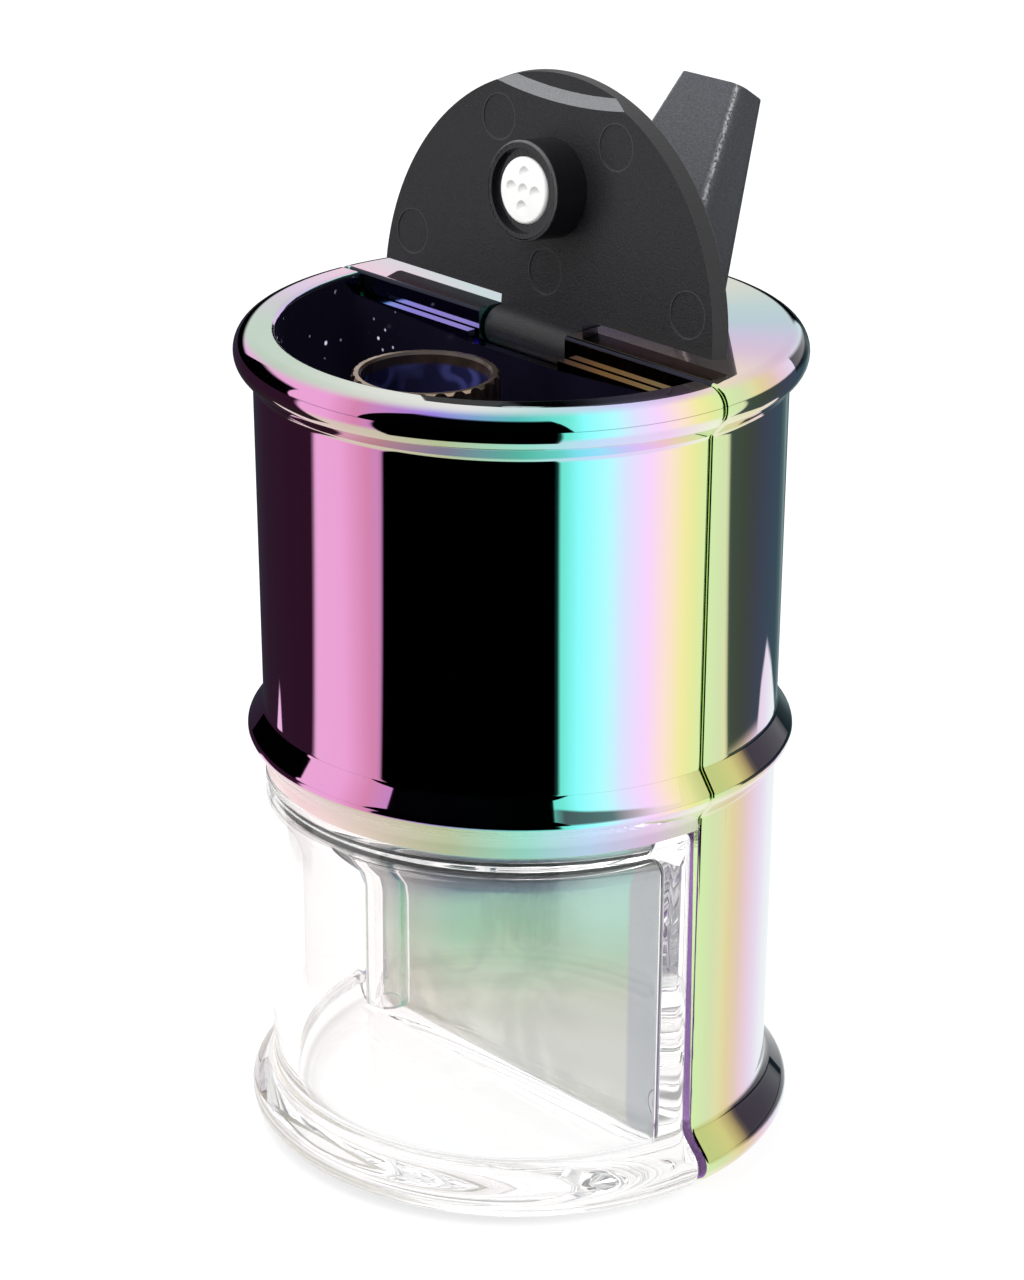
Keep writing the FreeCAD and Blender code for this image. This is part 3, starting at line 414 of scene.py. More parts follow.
def makeBore(settings):
    finish = makeGrain("boreWall", settings["dark"], settings["light"], settings["roughness"],
                       settings["grainScale"], settings["grainDepth"])
    tree, shader, brown = opened(finish)
    place, (x, y, z) = places(tree)
    # navy glaze with lighter patches painted as reflections
    glazeAndReflection = ramp(tree, noiseOf(tree, place, settings["patchScale"], 1.0), settings["glazeAndReflection"])
    shown = mixColour(tree, step(tree, z, *settings["glazeFrom"]), brown, glazeAndReflection)
    tree.links.new(shown, shader.inputs["Base Color"])
    return finish


seamSettings = {  # plum at the edge that shows, pale where the glass stands before it
    "dark": (0.22, 0.12, 0.34), "light": (0.36, 0.20, 0.46), "roughness": 0.16,
    "pale": (0.86, 0.85, 0.88),
    "edgeFrom": (0.0286, 0.0292),
}


def makeSeamEdge(settings):
    finish = makeMetal("violetEdge", settings["dark"], settings["light"], settings["roughness"],
                       toneSettings["platedScale"])
    tree, shader, plum = opened(finish)
    place, (x, y, z) = places(tree)
    edge = step(tree, calc(tree, "ABSOLUTE", x), *settings["edgeFrom"])
    tree.links.new(mixColour(tree, edge, settings["pale"], plum), shader.inputs["Base Color"])
    return finish


lintelSettings = {  # metres across the well's back edge, linear colour
    "across": [(-0.029, (0.40, 0.62, 0.86)), (-0.020, (0.45, 0.41, 0.78)), (-0.010, (0.48, 0.42, 0.74)),
               (-0.004, (0.30, 0.34, 0.66)), (0.006, (0.16, 0.10, 0.10)), (0.014, (0.34, 0.23, 0.12)),
               (0.022, (0.38, 0.30, 0.18)), (0.029, (0.30, 0.27, 0.19))],
    "span": 0.060,
    "roughness": 0.05,
    "waveScale": 120.0, "waveStrength": 0.3, "waveDepth": 0.00008,
}


def makeLintel(settings):
    finish, tree, shader = newFinish("lintelPlating")
    place, (x, y, z) = places(tree)
    tree.links.new(acrossRamp(tree, x, settings["across"], settings["span"]), shader.inputs["Base Color"])
    polish(shader, settings["roughness"], 1.0)
    addWave(tree, place, shader, settings)
    return finish


lidSettings = {  # the lid's own plane: across is x, along runs from the hinge
    "dark": (0.011, 0.011, 0.013), "light": (0.018, 0.018, 0.020),
    "roughness": 0.42, "grainScale": 3600.0, "grainDepth": 0.00010,
    "hinge": (0.00295, 0.1013),
    "open": math.radians(96),
    "marks": [(-0.0099, 0.02455), (0.0099, 0.02455), (-0.0236, 0.00795), (0.0, 0.00795), (0.0236, 0.00795)],
    "markRadius": 0.0027,
    "lineWidth": (0.00016, 0.000048),
    "line": (0.042, 0.042, 0.046),
    "faceDepth": (0.0010, 0.0006),
}


def makeLidGrain(settings):
    finish = makeGrain("lidGrain", settings["dark"], settings["light"], settings["roughness"],
                       settings["grainScale"], settings["grainDepth"])
    tree, shader, plain = opened(finish)
    place, (x, y, z) = places(tree)
    dy = calc(tree, "SUBTRACT", y, settings["hinge"][0])
    dz = calc(tree, "SUBTRACT", z, settings["hinge"][1])
    cos, sin = math.cos(settings["open"]), math.sin(settings["open"])
    along = calc(tree, "ADD", both(tree, dy, -cos), both(tree, dz, sin))
    through = calc(tree, "ADD", both(tree, dy, sin), both(tree, dz, cos))
    line = 0.0
    for across, far in settings["marks"]:
        reach = distance(tree, calc(tree, "SUBTRACT", x, across), calc(tree, "SUBTRACT", along, far))
        off = calc(tree, "ABSOLUTE", calc(tree, "SUBTRACT", reach, settings["markRadius"]))
        line = calc(tree, "MAXIMUM", line, step(tree, off, *settings["lineWidth"]))
    drawn = both(tree, line, step(tree, through, *settings["faceDepth"]))
    tree.links.new(mixColour(tree, drawn, plain, settings["line"]), shader.inputs["Base Color"])
    return finish


slateSettings = {  # mouthpiece: a painted highlight runs down its ridge as a fine bright line, broken by glitter
    "dark": (0.050, 0.052, 0.060), "light": (0.092, 0.096, 0.108),
    "roughness": 0.40, "specular": 0.25, "grainScale": 4200.0, "grainDepth": 0.00012,
    "ridgeHighlight": (0.46, 0.46, 0.48),
    "ridgeTurn": [  # how far a face looks sideways, share of the painted highlight
        (0.30, 0.0), (0.46, 0.25), (0.56, 1.0), (0.62, 0.9), (0.72, 0.12), (0.85, 0.0)],
    "ridgeFront": (-0.1, -0.3),
    "ridgeFrom": (0.104, 0.108),
    "glitterScale": 3000.0,
    "glitter": (0.30, 0.60),
}


def makeSlate(settings):
    finish = makeGrain("slateGrainAndHighlight", settings["dark"], settings["light"], settings["roughness"],
                       settings["grainScale"], settings["grainDepth"])
    tree, shader, plain = opened(finish)
    place, (x, y, z) = places(tree)
    sideways, forward = facing(tree)[:2]
    # painted highlight on the ridge: faces that turn partly sideways, on the front, high up
    turned = ramp(tree, calc(tree, "ABSOLUTE", sideways), settings["ridgeTurn"])
    front = both(tree, step(tree, forward, *settings["ridgeFront"]), step(tree, z, *settings["ridgeFrom"]))
    glitter = step(tree, noiseOf(tree, place, settings["glitterScale"]), *settings["glitter"])
    share = both(tree, both(tree, turned, front), glitter)
    tree.links.new(mixColour(tree, share, plain, settings["ridgeHighlight"]), shader.inputs["Base Color"])
    polish(shader, settings["roughness"], 0.0, settings["specular"])
    return finish


clearSettings = {
    "ior": 1.5,
    "tintAndPinkReflection": [(-0.028125, (0.992, 0.945, 0.938)), (-0.003125, (0.99, 0.992, 0.99))],  # metres across; the pink on the left is a painted reflection
    "span": 0.0625,
}


def makeGlass(settings):
    finish, tree, shader = newFinish("clearGlass")
    place, (x, y, z) = places(tree)
    polish(shader, 0.0)
    shader.inputs["Transmission Weight"].default_value = 1.0
    shader.inputs["IOR"].default_value = settings["ior"]
    # the glass's colour carries a painted pink reflection on its left
    tree.links.new(acrossRamp(tree, x, settings["tintAndPinkReflection"], settings["span"]), shader.inputs["Base Color"])
    return finish


finishes = {
    "plated_shell": makePlating(platingSettings),
    "lip": makeLip(platingSettings),
    "well": makeWell(wellSettings),
    "bore": makeBore(boreSettings),
    "violet": makeSeamEdge(seamSettings),
    "lintel": makeLintel(lintelSettings),
    "panel": makePanel(panelSettings),
    "lid": makeLidGrain(lidSettings),
    "slate_plastic": makeSlate(slateSettings),
    "clear_glass": makeGlass(clearSettings),
}
metals = {  # name, dark and light tone, roughness, and the scale of their tones where it isn't the usual one
    "darkEdge": ("darkEdge", (0.02, 0.02, 0.035), (0.04, 0.04, 0.06), 0.15, toneSettings["platedScale"]),
    "bronze": ("darkBronze", (0.30, 0.21, 0.16), (0.44, 0.33, 0.25), 0.28),
    "steel": ("bareSteel", (0.50, 0.50, 0.51), (0.60, 0.60, 0.62), 0.3),
    "contact_brass": ("turnedBrass", (0.55, 0.38, 0.14), (0.65, 0.46, 0.2), 0.25),
    "nickel_strip": ("nickelStrip", (0.5, 0.49, 0.46), (0.6, 0.58, 0.55), 0.3),
}
mouldings = {  # name, dark and light tone, roughness, scale and depth of the grain
    # the lid band is painted light: the finger nick's upward slope made far lighter than the lid
    "lidBandPaintedLight": ("lidBandPaintedLight", (0.14, 0.143, 0.15), (0.18, 0.183, 0.19), 0.42, 3600.0, 0.00010),
    "black_plastic": ("blackGloss", (0.008, 0.008, 0.010), (0.012, 0.012, 0.014), 0.14, 2500.0, 0.00003),
    # the cap's rim is a painted highlight, a lighter grey than the black cap
    "capRimHighlight": ("capRimHighlight", (0.07, 0.07, 0.074), (0.10, 0.10, 0.105), 0.2, 2500.0, 0.00003),
    "ceramic": ("whiteCeramic", (0.80, 0.80, 0.79), (0.86, 0.86, 0.85), 0.35, 300.0, 0.00002),
    "dark_dish": ("navyGlaze", (0.004, 0.005, 0.02), (0.007, 0.009, 0.03), 0.04, 200.0, 0.00001),
    "inner_plastic": ("innerBlack", (0.02, 0.02, 0.022), (0.03, 0.03, 0.033), 0.5, 1500.0, 0.0001),
    "silicone": ("silicone", (0.05, 0.05, 0.055), (0.07, 0.07, 0.075), 0.6, 900.0, 0.00005),
    "cell_wrap": ("cellWrap", (0.02, 0.05, 0.22), (0.03, 0.06, 0.25), 0.3, 300.0, 0.00001),
    "board": ("boardResist", (0.005, 0.06, 0.02), (0.008, 0.075, 0.025), 0.35, 700.0, 0.00002),
    "light_plastic": ("lightGuide", (0.75, 0.78, 0.82), (0.82, 0.84, 0.87), 0.3, 200.0, 0.00001),
    "button_plastic": ("buttonBlack", (0.014, 0.014, 0.016), (0.02, 0.02, 0.023), 0.35, 2500.0, 0.0001),
}
finishes.update({slot: makeMetal(*values) for slot, values in metals.items()})
finishes.update({slot: makeGrain(*values) for slot, values in mouldings.items()})
print("finishes:", len(finishes))


# smooth copies of the solids, with crisp edges kept

smoothSettings = {"weld": 1e-7, "crease": math.radians(28)}


def smoothFaces(work):
    for face in work.faces:
        face.smooth = True
    for edge in work.edges:
        edge.smooth = edge.calc_face_angle(0.0) < smoothSettings["crease"]


def smoothPiece(node, name):
    source = frame["nodes"][node].data
    mesh = bpy.data.meshes.new(name)
    work = bmesh.new()
    work.from_mesh(source)
    bmesh.ops.remove_doubles(work, verts=work.verts, dist=smoothSettings["weld"])
    smoothFaces(work)
    work.to_mesh(mesh)
    work.free()
    return dress(placed(name, mesh), node)


def dress(piece, node):
    piece.data.materials.append(finishes[slotOf[node]])
    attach(piece, bodyOf[node])
    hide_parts(node)
    return piece


def evenNormals(piece):  # large flat faces keep their own normal where they run into a round
    mesh = piece.data
    fans = {}
    for face in mesh.polygons:
        for corner in face.loop_indices:
            fans.setdefault(mesh.loops[corner].vertex_index, []).append((corner, face))
    kept = [corner.vector.copy() for corner in mesh.corner_normals]
    limit = math.cos(smoothSettings["crease"])
    for fan in fans.values():
        for corner, face in fan:
            near = [(other.normal, other.area) for _, other in fan if other.normal.dot(face.normal) > limit]
            total = sum((normal * area for normal, area in near), Vector())
            if total.length > 0:
                kept[corner] = total.normalized()
    mesh.normals_split_custom_set(kept)


ownMesh = ("glass_bubbler",)
pieces = {node: smoothPiece(node, "shown_" + node) for node in frame["nodes"] if node not in ownMesh}
for piece in pieces.values():
    evenNormals(piece)


# true turned normals on the shells' outer skin, so that the mirror runs clean

skinSettings = {  # metres, as the shells are turned
    "footRadius": 0.030948, "spread": 0.00075, "height": 0.1038, "edgeRound": 0.0005,
    "beads": [  # centre, nose radius, reach, fillet, slope of the flank
        (0.1011, 0.0027, 0.00225, 0.0012, math.radians(44)),
        (0.0536, 0.0012, 0.00195, 0.0012, math.radians(36)),
        (0.0043, 0.0023, 0.0029, 0.0030, math.radians(43))],
    "tuck": math.radians(60),  # slope under the foot
    "skinReach": 0.00055,  # how deep a point still belongs to the skin or its rounded edge
    "skinMiss": 0.00006,
    "flatEdge": 0.995,  # a face this far along the seam's normal is the flat seam itself
    "sameWay": 0.8,
    "frontEdge": -0.0003, "rearEdge": 0.0,  # where each shell's seam lies
}


def wallRadius(height, settings):
    return settings["footRadius"] + settings["spread"] * height / settings["height"]


def beadPoint(height, bead, settings):  # nothing where the height is off the bead
    centre, radius, reach, fillet, flank = bead
    wall = wallRadius(centre, settings)
    middle = wall + reach - radius
    run = (reach - (radius + fillet) * (1 - math.cos(flank))) / math.sin(flank)
    rise = (radius + fillet) * math.sin(flank) + run * math.cos(flank)
    off = height - centre
    side = math.copysign(1.0, off)
    underFoot = off < 0 and centre < rise
    overRim = off > 0 and centre + rise > settings["height"]
    slope = settings["tuck"] if underFoot else flank
    if overRim or abs(off) <= radius * math.sin(slope):
        out = math.sqrt(max(radius ** 2 - off ** 2, 0.0))
        return middle + out, Vector((out, off)).normalized()
    if underFoot or abs(off) <= rise - fillet * math.sin(flank):
        out = middle + radius * math.cos(slope) - (abs(off) - radius * math.sin(slope)) * math.tan(slope)
        return out, Vector((math.cos(slope), side * math.sin(slope)))
    drop = rise - abs(off)
    if drop <= 0:
        return None
    inward = math.sqrt(max(fillet ** 2 - drop ** 2, 0.0))
    return wall + fillet - inward, Vector((inward, side * drop)).normalized()


def skinPoint(height, settings):  # radius of the skin and its normal in the turning plane
    for bead in settings["beads"]:
        found = beadPoint(height, bead, settings)
        if found:
            return found
    return wallRadius(height, settings), Vector((1.0, -settings["spread"] / settings["height"])).normalized()


def trueSkin(piece, edgeY, edgeNormal, settings):
    mesh = piece.data
    normals = [corner.vector.copy() for corner in mesh.corner_normals]
    edgeRound = settings["edgeRound"]
    for face in mesh.polygons:
        for corner in face.loop_indices:
            place = mesh.vertices[mesh.loops[corner].vertex_index].co
            radius, slope = skinPoint(place.z, settings)
            outward = Vector((place.x, place.y, 0.0)).normalized()
            skin = outward * slope.x + Vector((0.0, 0.0, slope.y))
            depth = min(abs(place.y - edgeY) / edgeRound, 1.0)
            if radius - place.xy.length > settings["skinReach"]:
                continue
            if abs(face.normal.dot(edgeNormal)) < settings["flatEdge"] and depth < 1.0:
                lean = 1.0 - depth
                normals[corner] = (skin * math.sqrt(1.0 - lean * lean) + edgeNormal * lean).normalized()
                continue
            onSkin = abs(radius - place.xy.length) < settings["skinMiss"]
            if depth == 1.0 and onSkin and face.normal.dot(skin) > settings["sameWay"]:
                normals[corner] = skin
    mesh.normals_split_custom_set(normals)


trueSkin(pieces["front_shell"], skinSettings["frontEdge"], Vector((0.0, 1.0, 0.0)), skinSettings)
trueSkin(pieces["rear_shell"], skinSettings["rearEdge"], Vector((0.0, -1.0, 0.0)), skinSettings)


# some faces of a piece have a finish of their own

faceSettings = {  # metres, and how far a face looks along an axis
    "lipTop": 0.0516,
    "wellHeight": (0.0718, 0.1037), "wellRadius": 0.0289,
    "lintelFoot": 0.0990, "lintelDepth": (-0.0022, 0.0004), "lintelHalf": 0.0288, "lintelEdge": 0.15,
    "nickFoot": 0.1285, "nickForward": -0.6, "nickUp": 0.4,
    "capRimHighlight": (-0.92, -0.35),
    "seamForward": -0.9, "seamDepth": 0.0003, "seamTop": 0.0495,
    "boreAxis": (0.0, -0.015), "boreRadius": 0.0079,
}


def partFinish(node, name, chosen):
    mesh = pieces[node].data
    mesh.materials.append(finishes[name])
    index = len(mesh.materials) - 1
    for face in mesh.polygons:
        if chosen(face, faceSettings):
            face.material_index = index


def between(value, limits):
    return limits[0] < value < limits[1]


def onLip(face, settings):
    return face.center.z < settings["lipTop"]


def inWell(face, settings):
    return between(face.center.z, settings["wellHeight"]) and face.center.xy.length < settings["wellRadius"]


def onLintel(face, settings):
    centre = face.center
    inLine = between(centre.y, settings["lintelDepth"]) and abs(centre.x) < settings["lintelHalf"]
    return inLine and centre.z > settings["lintelFoot"]


def onLintelEdge(face, settings):
    return onLintel(face, settings) and face.normal.z > settings["lintelEdge"]


def onBand(face, settings):  # slope of the finger nick, which gets the painted light
    sloped = face.normal.y < settings["nickForward"] and face.normal.z > settings["nickUp"]
    return sloped and face.center.z > settings["nickFoot"]


# faces of the cap's rounded rim, which take the painted highlight
def onCapRim(face, settings):
    return between(face.normal.y, settings["capRimHighlight"])


def onSeamFace(face, settings):
    inPlane = face.normal.y < settings["seamForward"] and abs(face.center.y) < settings["seamDepth"]
    return inPlane and face.center.z < settings["seamTop"]


def inBore(face, settings):
    toAxis = Vector(settings["boreAxis"]) - face.center.xy
    return face.normal.xy.dot(toAxis) > 0.0 and toAxis.length < settings["boreRadius"]


pieces["chassis_plate"].data.materials[0] = finishes["panel"]
pieces["lid"].data.materials[0] = finishes["lid"]
partFinish("front_shell", "lip", onLip)
partFinish("front_shell", "well", inWell)
partFinish("front_shell", "lintel", onLintel)
partFinish("rear_shell", "lintel", onLintel)
partFinish("rear_shell", "darkEdge", onLintelEdge)
partFinish("rear_shell", "violet", onSeamFace)
partFinish("atomizer_sleeve", "bore", inBore)
partFinish("lid", "lidBandPaintedLight", onBand)
partFinish("carb_cap", "capRimHighlight", onCapRim)


# pressed glass: a half round jar, its cavity and two roof ports, with the ripple of the mould

glassSettings = {
    "top": 0.0486, "back": -0.0005, "corner": 0.0019, "edge": 0.0012,
    "wall": 0.0028, "backWall": 0.0026, "floor": 0.0065, "roof": 0.04582,
    "innerRound": 0.0024, "innerCorner": 0.0015, "leastCorner": 0.0002,
    "footEnd": 0.0125, "footRows": 26, "wallRows": 22, "roundRows": 7,
    "arcParts": 120, "cornerParts": 9, "flatParts": 40,
    "ripple": 0.00003, "rippleScale": 80.0, "plainBack": 0.0035, "plainEnds": (0.0002, 0.0001),
    "footRipple": 0.00024, "footReach": 0.013, "streakScale": (90.0, 420.0),  # round the foot and up it
    "ports": [((-0.009, -0.014), 0.0034), ((0.0, -0.0078), 0.0036)],
    "portParts": 64, "portDepth": 0.02,
}


def halfRound(radius, back, corner, height, settings):  # points of a D with its flat side at the back
    sink = back - corner
    reach = math.sqrt((radius - corner) ** 2 - sink ** 2)
    first = math.atan2(sink, -reach) % (2 * math.pi)
    last = math.atan2(sink, reach) % (2 * math.pi)
    points = []
    for i in range(settings["arcParts"]):
        turn = first + (last - first) * i / settings["arcParts"]
        points.append((radius * math.cos(turn), radius * math.sin(turn), height))
    for i in range(settings["cornerParts"]):
        turn = last + (2.5 * math.pi - last) * i / settings["cornerParts"]
        points.append((reach + corner * math.cos(turn), sink + corner * math.sin(turn), height))
    for i in range(settings["flatParts"]):
        points.append((reach - 2 * reach * i / settings["flatParts"], back, height))
    for i in range(settings["cornerParts"]):
        turn = math.pi / 2 + (first - math.pi / 2) * i / settings["cornerParts"]
        points.append((-reach + corner * math.cos(turn), sink + corner * math.sin(turn), height))
    return points


def stackRows(work, rows, inward):
    rings = [[work.verts.new(point) for point in row] for row in rows]
    count = len(rings[0])
    for low, high in zip(rings, rings[1:]):
        for i in range(count):
            quad = [low[i], low[(i + 1) % count], high[(i + 1) % count], high[i]]
            work.faces.new(quad[::-1] if inward else quad)
    work.faces.new(rings[0] if inward else rings[0][::-1])
    work.faces.new(rings[-1][::-1] if inward else rings[-1])


def outerRows(settings, skin):
    edgeFoot, footEnd = settings["top"] - settings["edge"], settings["footEnd"]
    footRows, wallRows = settings["footRows"], settings["wallRows"]
    heights = [footEnd * i / footRows for i in range(footRows)]
    heights += [footEnd + (edgeFoot - footEnd) * i / wallRows for i in range(wallRows)]
    rows = []
    for height in heights:
        radius, slope = skinPoint(height, skin)
        rows.append(halfRound(radius, settings["back"], settings["corner"], height, settings))
    for i in range(settings["roundRows"] + 1):
        turn = math.pi / 2 * i / settings["roundRows"]
        inset = settings["edge"] * (1 - math.cos(turn))
        height = edgeFoot + settings["edge"] * math.sin(turn)
        rows.append(halfRound(wallRadius(height, skin) - inset, settings["back"] - inset,
                              settings["corner"] - inset, height, settings))
    return rows


def innerRows(settings, skin):
    back, bend = settings["back"] - settings["backWall"], settings["innerRound"]
    low, high = settings["floor"], settings["roof"]
    spots = []
    for i in range(settings["roundRows"] + 1):
        turn = math.pi / 2 * i / settings["roundRows"]
        spots.append((low + bend * (1 - math.cos(turn)), bend * (1 - math.sin(turn))))
    for i in range(1, settings["wallRows"]):
        spots.append((low + bend + (high - low - 2 * bend) * i / settings["wallRows"], 0.0))
    for i in range(settings["roundRows"] + 1):
        turn = math.pi / 2 * i / settings["roundRows"]
        spots.append((high - bend + bend * math.sin(turn), bend * (1 - math.cos(turn))))
    rows = []
    for height, inset in spots:
        corner = max(settings["innerCorner"] - inset, settings["leastCorner"])
        radius = wallRadius(height, skin) - settings["wall"] - inset
        rows.append(halfRound(radius, back - inset, corner, height, settings))
    return rows


def portCutter(spot, radius, settings):
    work = bmesh.new()
    bmesh.ops.create_cone(work, cap_ends=True, segments=settings["portParts"], radius1=radius, radius2=radius,
                          depth=settings["portDepth"])
    bmesh.ops.translate(work, verts=work.verts, vec=(*spot, settings["top"]))
    mesh = bpy.data.meshes.new("portCutter")
    work.to_mesh(mesh)
    work.free()
    return placed("portCutter", mesh)


def pressedRipple(place, settings):  # how far the mould leaves the surface low
    wave = noise.noise(place * settings["rippleScale"])
    flat, tall = settings["streakScale"]
    streak = noise.noise(Vector((place.x * flat, place.y * flat, place.z * tall)))
    foot = max(0.0, 1.0 - place.z / settings["footReach"])
    return settings["ripple"] * (0.5 + 0.5 * wave) + settings["footRipple"] * foot * (0.5 + 0.5 * streak)


def makeGlassJar(settings, skin):
    work = bmesh.new()
    stackRows(work, outerRows(settings, skin), False)
    stackRows(work, innerRows(settings, skin), True)
    plainFoot, plainTop = settings["plainEnds"]
    for vert in work.verts:
        flatBack = vert.co.y > settings["back"] - settings["plainBack"]
        if plainFoot < vert.co.z < settings["top"] - plainTop and not flatBack:
            outward = Vector((vert.co.x, vert.co.y, 0.0)).normalized()
            vert.co -= outward * pressedRipple(vert.co, settings)
    mesh = bpy.data.meshes.new("glassJar")
    work.to_mesh(mesh)
    work.free()
    jar = placed("glassJar", mesh)
    for spot, radius in settings["ports"]:
        cutter = portCutter(spot, radius, settings)
        cut = jar.modifiers.new("port", "BOOLEAN")
        cut.operation = "DIFFERENCE"
        cut.solver = "EXACT"
        cut.object = cutter
        bpy.context.view_layer.objects.active = jar
        bpy.ops.object.modifier_apply(modifier=cut.name)
        bpy.data.objects.remove(cutter)
    work = bmesh.new()
    work.from_mesh(jar.data)
    smoothFaces(work)
    work.to_mesh(jar.data)
    work.free()
    return dress(jar, "glass_bubbler")


pieces["glass_bubbler"] = makeGlassJar(glassSettings, skinSettings)
print("glass:", len(pieces["glass_bubbler"].data.polygons), "faces")
for node in ("glass_bubbler", "downstem"):
    pieces[node].visible_shadow = False
print("pieces:", len(pieces))


# floor, soft light and the dark and bright fields that the plating mirrors

stageHalf = 4.0


def planeOf(name, height):
    mesh = bpy.data.meshes.new(name)
    half = stageHalf
    corners = [(-half, -half, height), (half, -half, height), (half, half, height), (-half, half, height)]
    mesh.from_pydata(corners, [], [(0, 1, 2, 3)])
    plane = placed(name, mesh)
    return plane


floorSettings = {
    "base": 0.15,
    "glow": 0.90,
    "roughness": 0.8,
    "shade": [  # painted contact shadow round the foot: metres from the shadow's middle
        (0.0220, 1.0), (0.0275, 0.80), (0.0295, 0.70), (0.0312, 0.78), (0.0325, 0.93), (0.0340, 1.0)],
    "shadeSpan": 0.1,
    "shadeShift": 0.0018,
    # how much of the painted shadow shows round the foot, most on the left and front
    "shaded": [(-180, 0.5), (-165, 1.0), (-45, 1.0), (-5, 0.6), (15, 0.0), (160, 0.0), (180, 0.5)],
}


def makeFloor(settings):
    floor = planeOf("floor", 0.0)
    finish, tree, shader = newFinish("paleFloor")
    place, (x, y, z) = places(tree)
    span, grey = settings["shadeSpan"], (settings["base"],) * 3
    # painted contact shadow: the floor darkens in a ring round the foot, its middle shifted to the left
    reach = distance(tree, calc(tree, "ADD", x, settings["shadeShift"]), y)
    shade = ramp(tree, both(tree, reach, 1.0 / span), [(metres / span, v) for metres, v in settings["shade"]])
    shaded = roundRamp(tree, around(tree, x, y), settings["shaded"])
    tone = mixColour(tree, shaded, white, shade)
    tree.links.new(mixColour(tree, 1.0, tone, grey, "MULTIPLY"), shader.inputs["Base Color"])
    tree.links.new(tone, shader.inputs["Emission Color"])
    shader.inputs["Emission Strength"].default_value = settings["glow"]
    polish(shader, settings["roughness"])
    floor.data.materials.append(finish)
    floor.visible_glossy = False


mirrorSettings = {
    "height": -0.0005,
    "sectors": [  # degrees round the floor, linear colour of what the plating mirrors there
        (-180, (0.03, 0.02, 0.03)), (-138.5, (0.03, 0.015, 0.025)), (-136, white), (-101.5, white),
        (-100, (0.0, 0.0, 0.0)), (-28.2, (0.0, 0.0, 0.0)), (-26.8, white), (51.5, white),
        (53.5, (0.07, 0.10, 0.13)), (100, (0.05, 0.09, 0.11)), (107, (0.10, 0.15, 0.16)),
        (113, (0.24, 0.32, 0.33)), (122, (0.04, 0.05, 0.06)), (140, (0.04, 0.05, 0.06)),
        (180, (0.03, 0.02, 0.03))],
    "near": [  # metres from the middle, up to where the table is white
        (-180, 0.110), (-174, 0.120), (-167, 0.165), (-160, 0.120), (-156, 0.105), (50, 0.105), (53, 0.150),
        (78, 0.150), (82, 0.165), (88, 0.180), (96, 0.165), (106, 0.140), (125, 0.125), (174, 0.125),
        (180, 0.110)],
    "soft": 0.004,
}


def makeMirrorField(settings):
    field = planeOf("mirrorField", settings["height"])
    finish = bpy.data.materials.new("mirrorField")
    finish.use_nodes = True
    tree = finish.node_tree
    tree.nodes.clear()
    place, (x, y, z) = places(tree)
    turn = around(tree, x, y)
    past = calc(tree, "SUBTRACT", distance(tree, x, y), roundRamp(tree, turn, settings["near"]))
    far = step(tree, past, -settings["soft"], settings["soft"])
    shown = mixColour(tree, far, white, roundRamp(tree, turn, settings["sectors"]))
    glow = tree.nodes.new("ShaderNodeEmission")
    tree.links.new(shown, glow.inputs["Color"])
    out = tree.nodes.new("ShaderNodeOutputMaterial")
    tree.links.new(glow.outputs[0], out.inputs["Surface"])
    field.data.materials.append(finish)
    field.visible_camera = False
    field.visible_diffuse = False
    field.visible_transmission = False
    field.visible_shadow = False


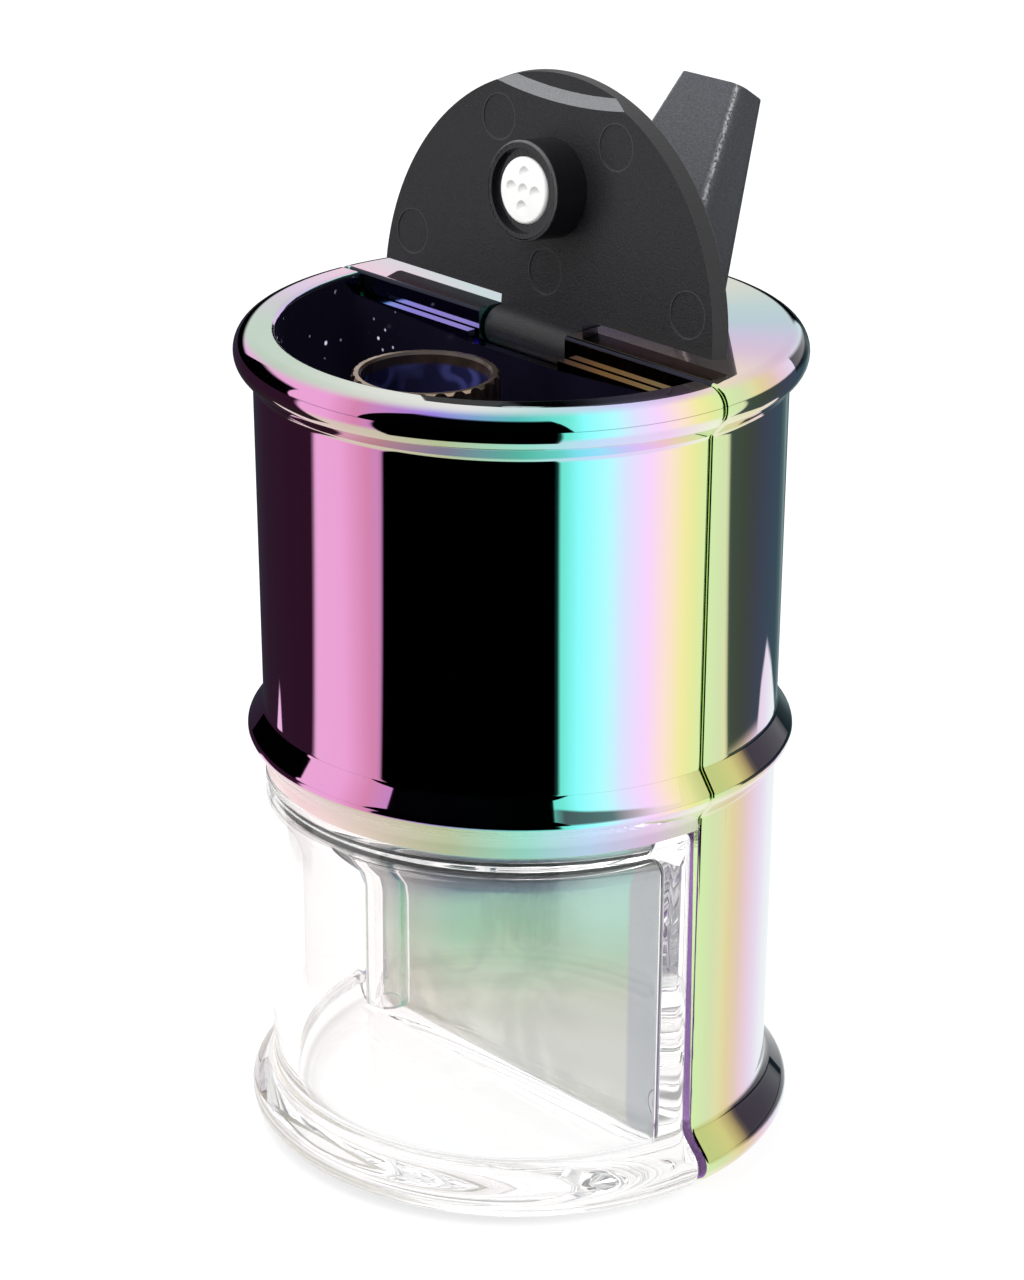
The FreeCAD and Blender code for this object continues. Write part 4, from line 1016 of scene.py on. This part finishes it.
worldSettings = {
    "skyFrom": [  # degrees round the object, sine of the height where the mirrored sky starts
        (-180, 0.45), (-148, 0.45), (-144, 0.0), (-108, 0.0), (-105, 0.84), (-26, 0.84), (-23, -0.06),
        (120, -0.06), (124, 0.20), (174, 0.20), (176, 0.45), (180, 0.45)],
    "soft": 0.05,
    "fill": [  # soft light round the object
        (-180, 1.5), (-60, 1.4), (-25, 0.15), (70, 0.15), (115, 1.0), (180, 1.5)],
    "lowFill": 0.5,
    "through": [  # what the glass bends in, from straight down to straight up
        (0.0, 1.0), (0.47, 1.0), (0.50, 0.40), (0.55, 0.40), (0.61, 1.0)],
}


def makeWorld(settings):
    world = bpy.data.worlds.new("studio")
    bpy.context.scene.world = world
    world.use_nodes = True
    tree = world.node_tree
    tree.nodes.clear()
    split = tree.nodes.new("ShaderNodeSeparateXYZ")
    tree.links.new(tree.nodes.new("ShaderNodeTexCoord").outputs["Generated"], split.inputs[0])
    x, y, z = split.outputs
    turn = around(tree, x, y)
    over = calc(tree, "SUBTRACT", z, roundRamp(tree, turn, settings["skyFrom"]))
    sky = step(tree, over, -settings["soft"], settings["soft"])
    path = tree.nodes.new("ShaderNodeLightPath").outputs
    fill = both(tree, roundRamp(tree, turn, settings["fill"]), calc(tree, "ADD", z, settings["lowFill"]))
    shown = mixColour(tree, path["Is Camera Ray"], fill, white)
    through = ramp(tree, calc(tree, "MULTIPLY_ADD", z, 0.5, 0.5), settings["through"])
    shown = mixColour(tree, path["Is Transmission Ray"], shown, through)
    mirrored = both(tree, path["Is Glossy Ray"], path["Is Reflection Ray"])
    shown = mixColour(tree, mirrored, shown, sky)
    back = tree.nodes.new("ShaderNodeBackground")
    tree.links.new(shown, back.inputs["Color"])
    out = tree.nodes.new("ShaderNodeOutputWorld")
    tree.links.new(back.outputs[0], out.inputs["Surface"])


lightSettings = {"place": (-0.25, -0.35, 0.85), "aim": (0.0, 0.0, 0.08), "size": 0.6, "power": 5.0}


def makeLight(settings):
    data = bpy.data.lights.new("top", "AREA")
    data.size = settings["size"]
    data.energy = settings["power"]
    light = placed("top", data)
    light.location = settings["place"]
    toward = Vector(settings["aim"]) - Vector(settings["place"])
    light.rotation_euler = toward.to_track_quat("-Z", "Y").to_euler()
    light.visible_glossy = False


makeFloor(floorSettings)
makeMirrorField(mirrorSettings)
makeWorld(worldSettings)
makeLight(lightSettings)
print("stage set")


# light runs many times inside the thick glass before it leaves

bounceSettings = {"max_bounces": 160, "transmission_bounces": 128, "glossy_bounces": 128}
for limit, count in bounceSettings.items():
    setattr(bpy.context.scene.cycles, limit, count)
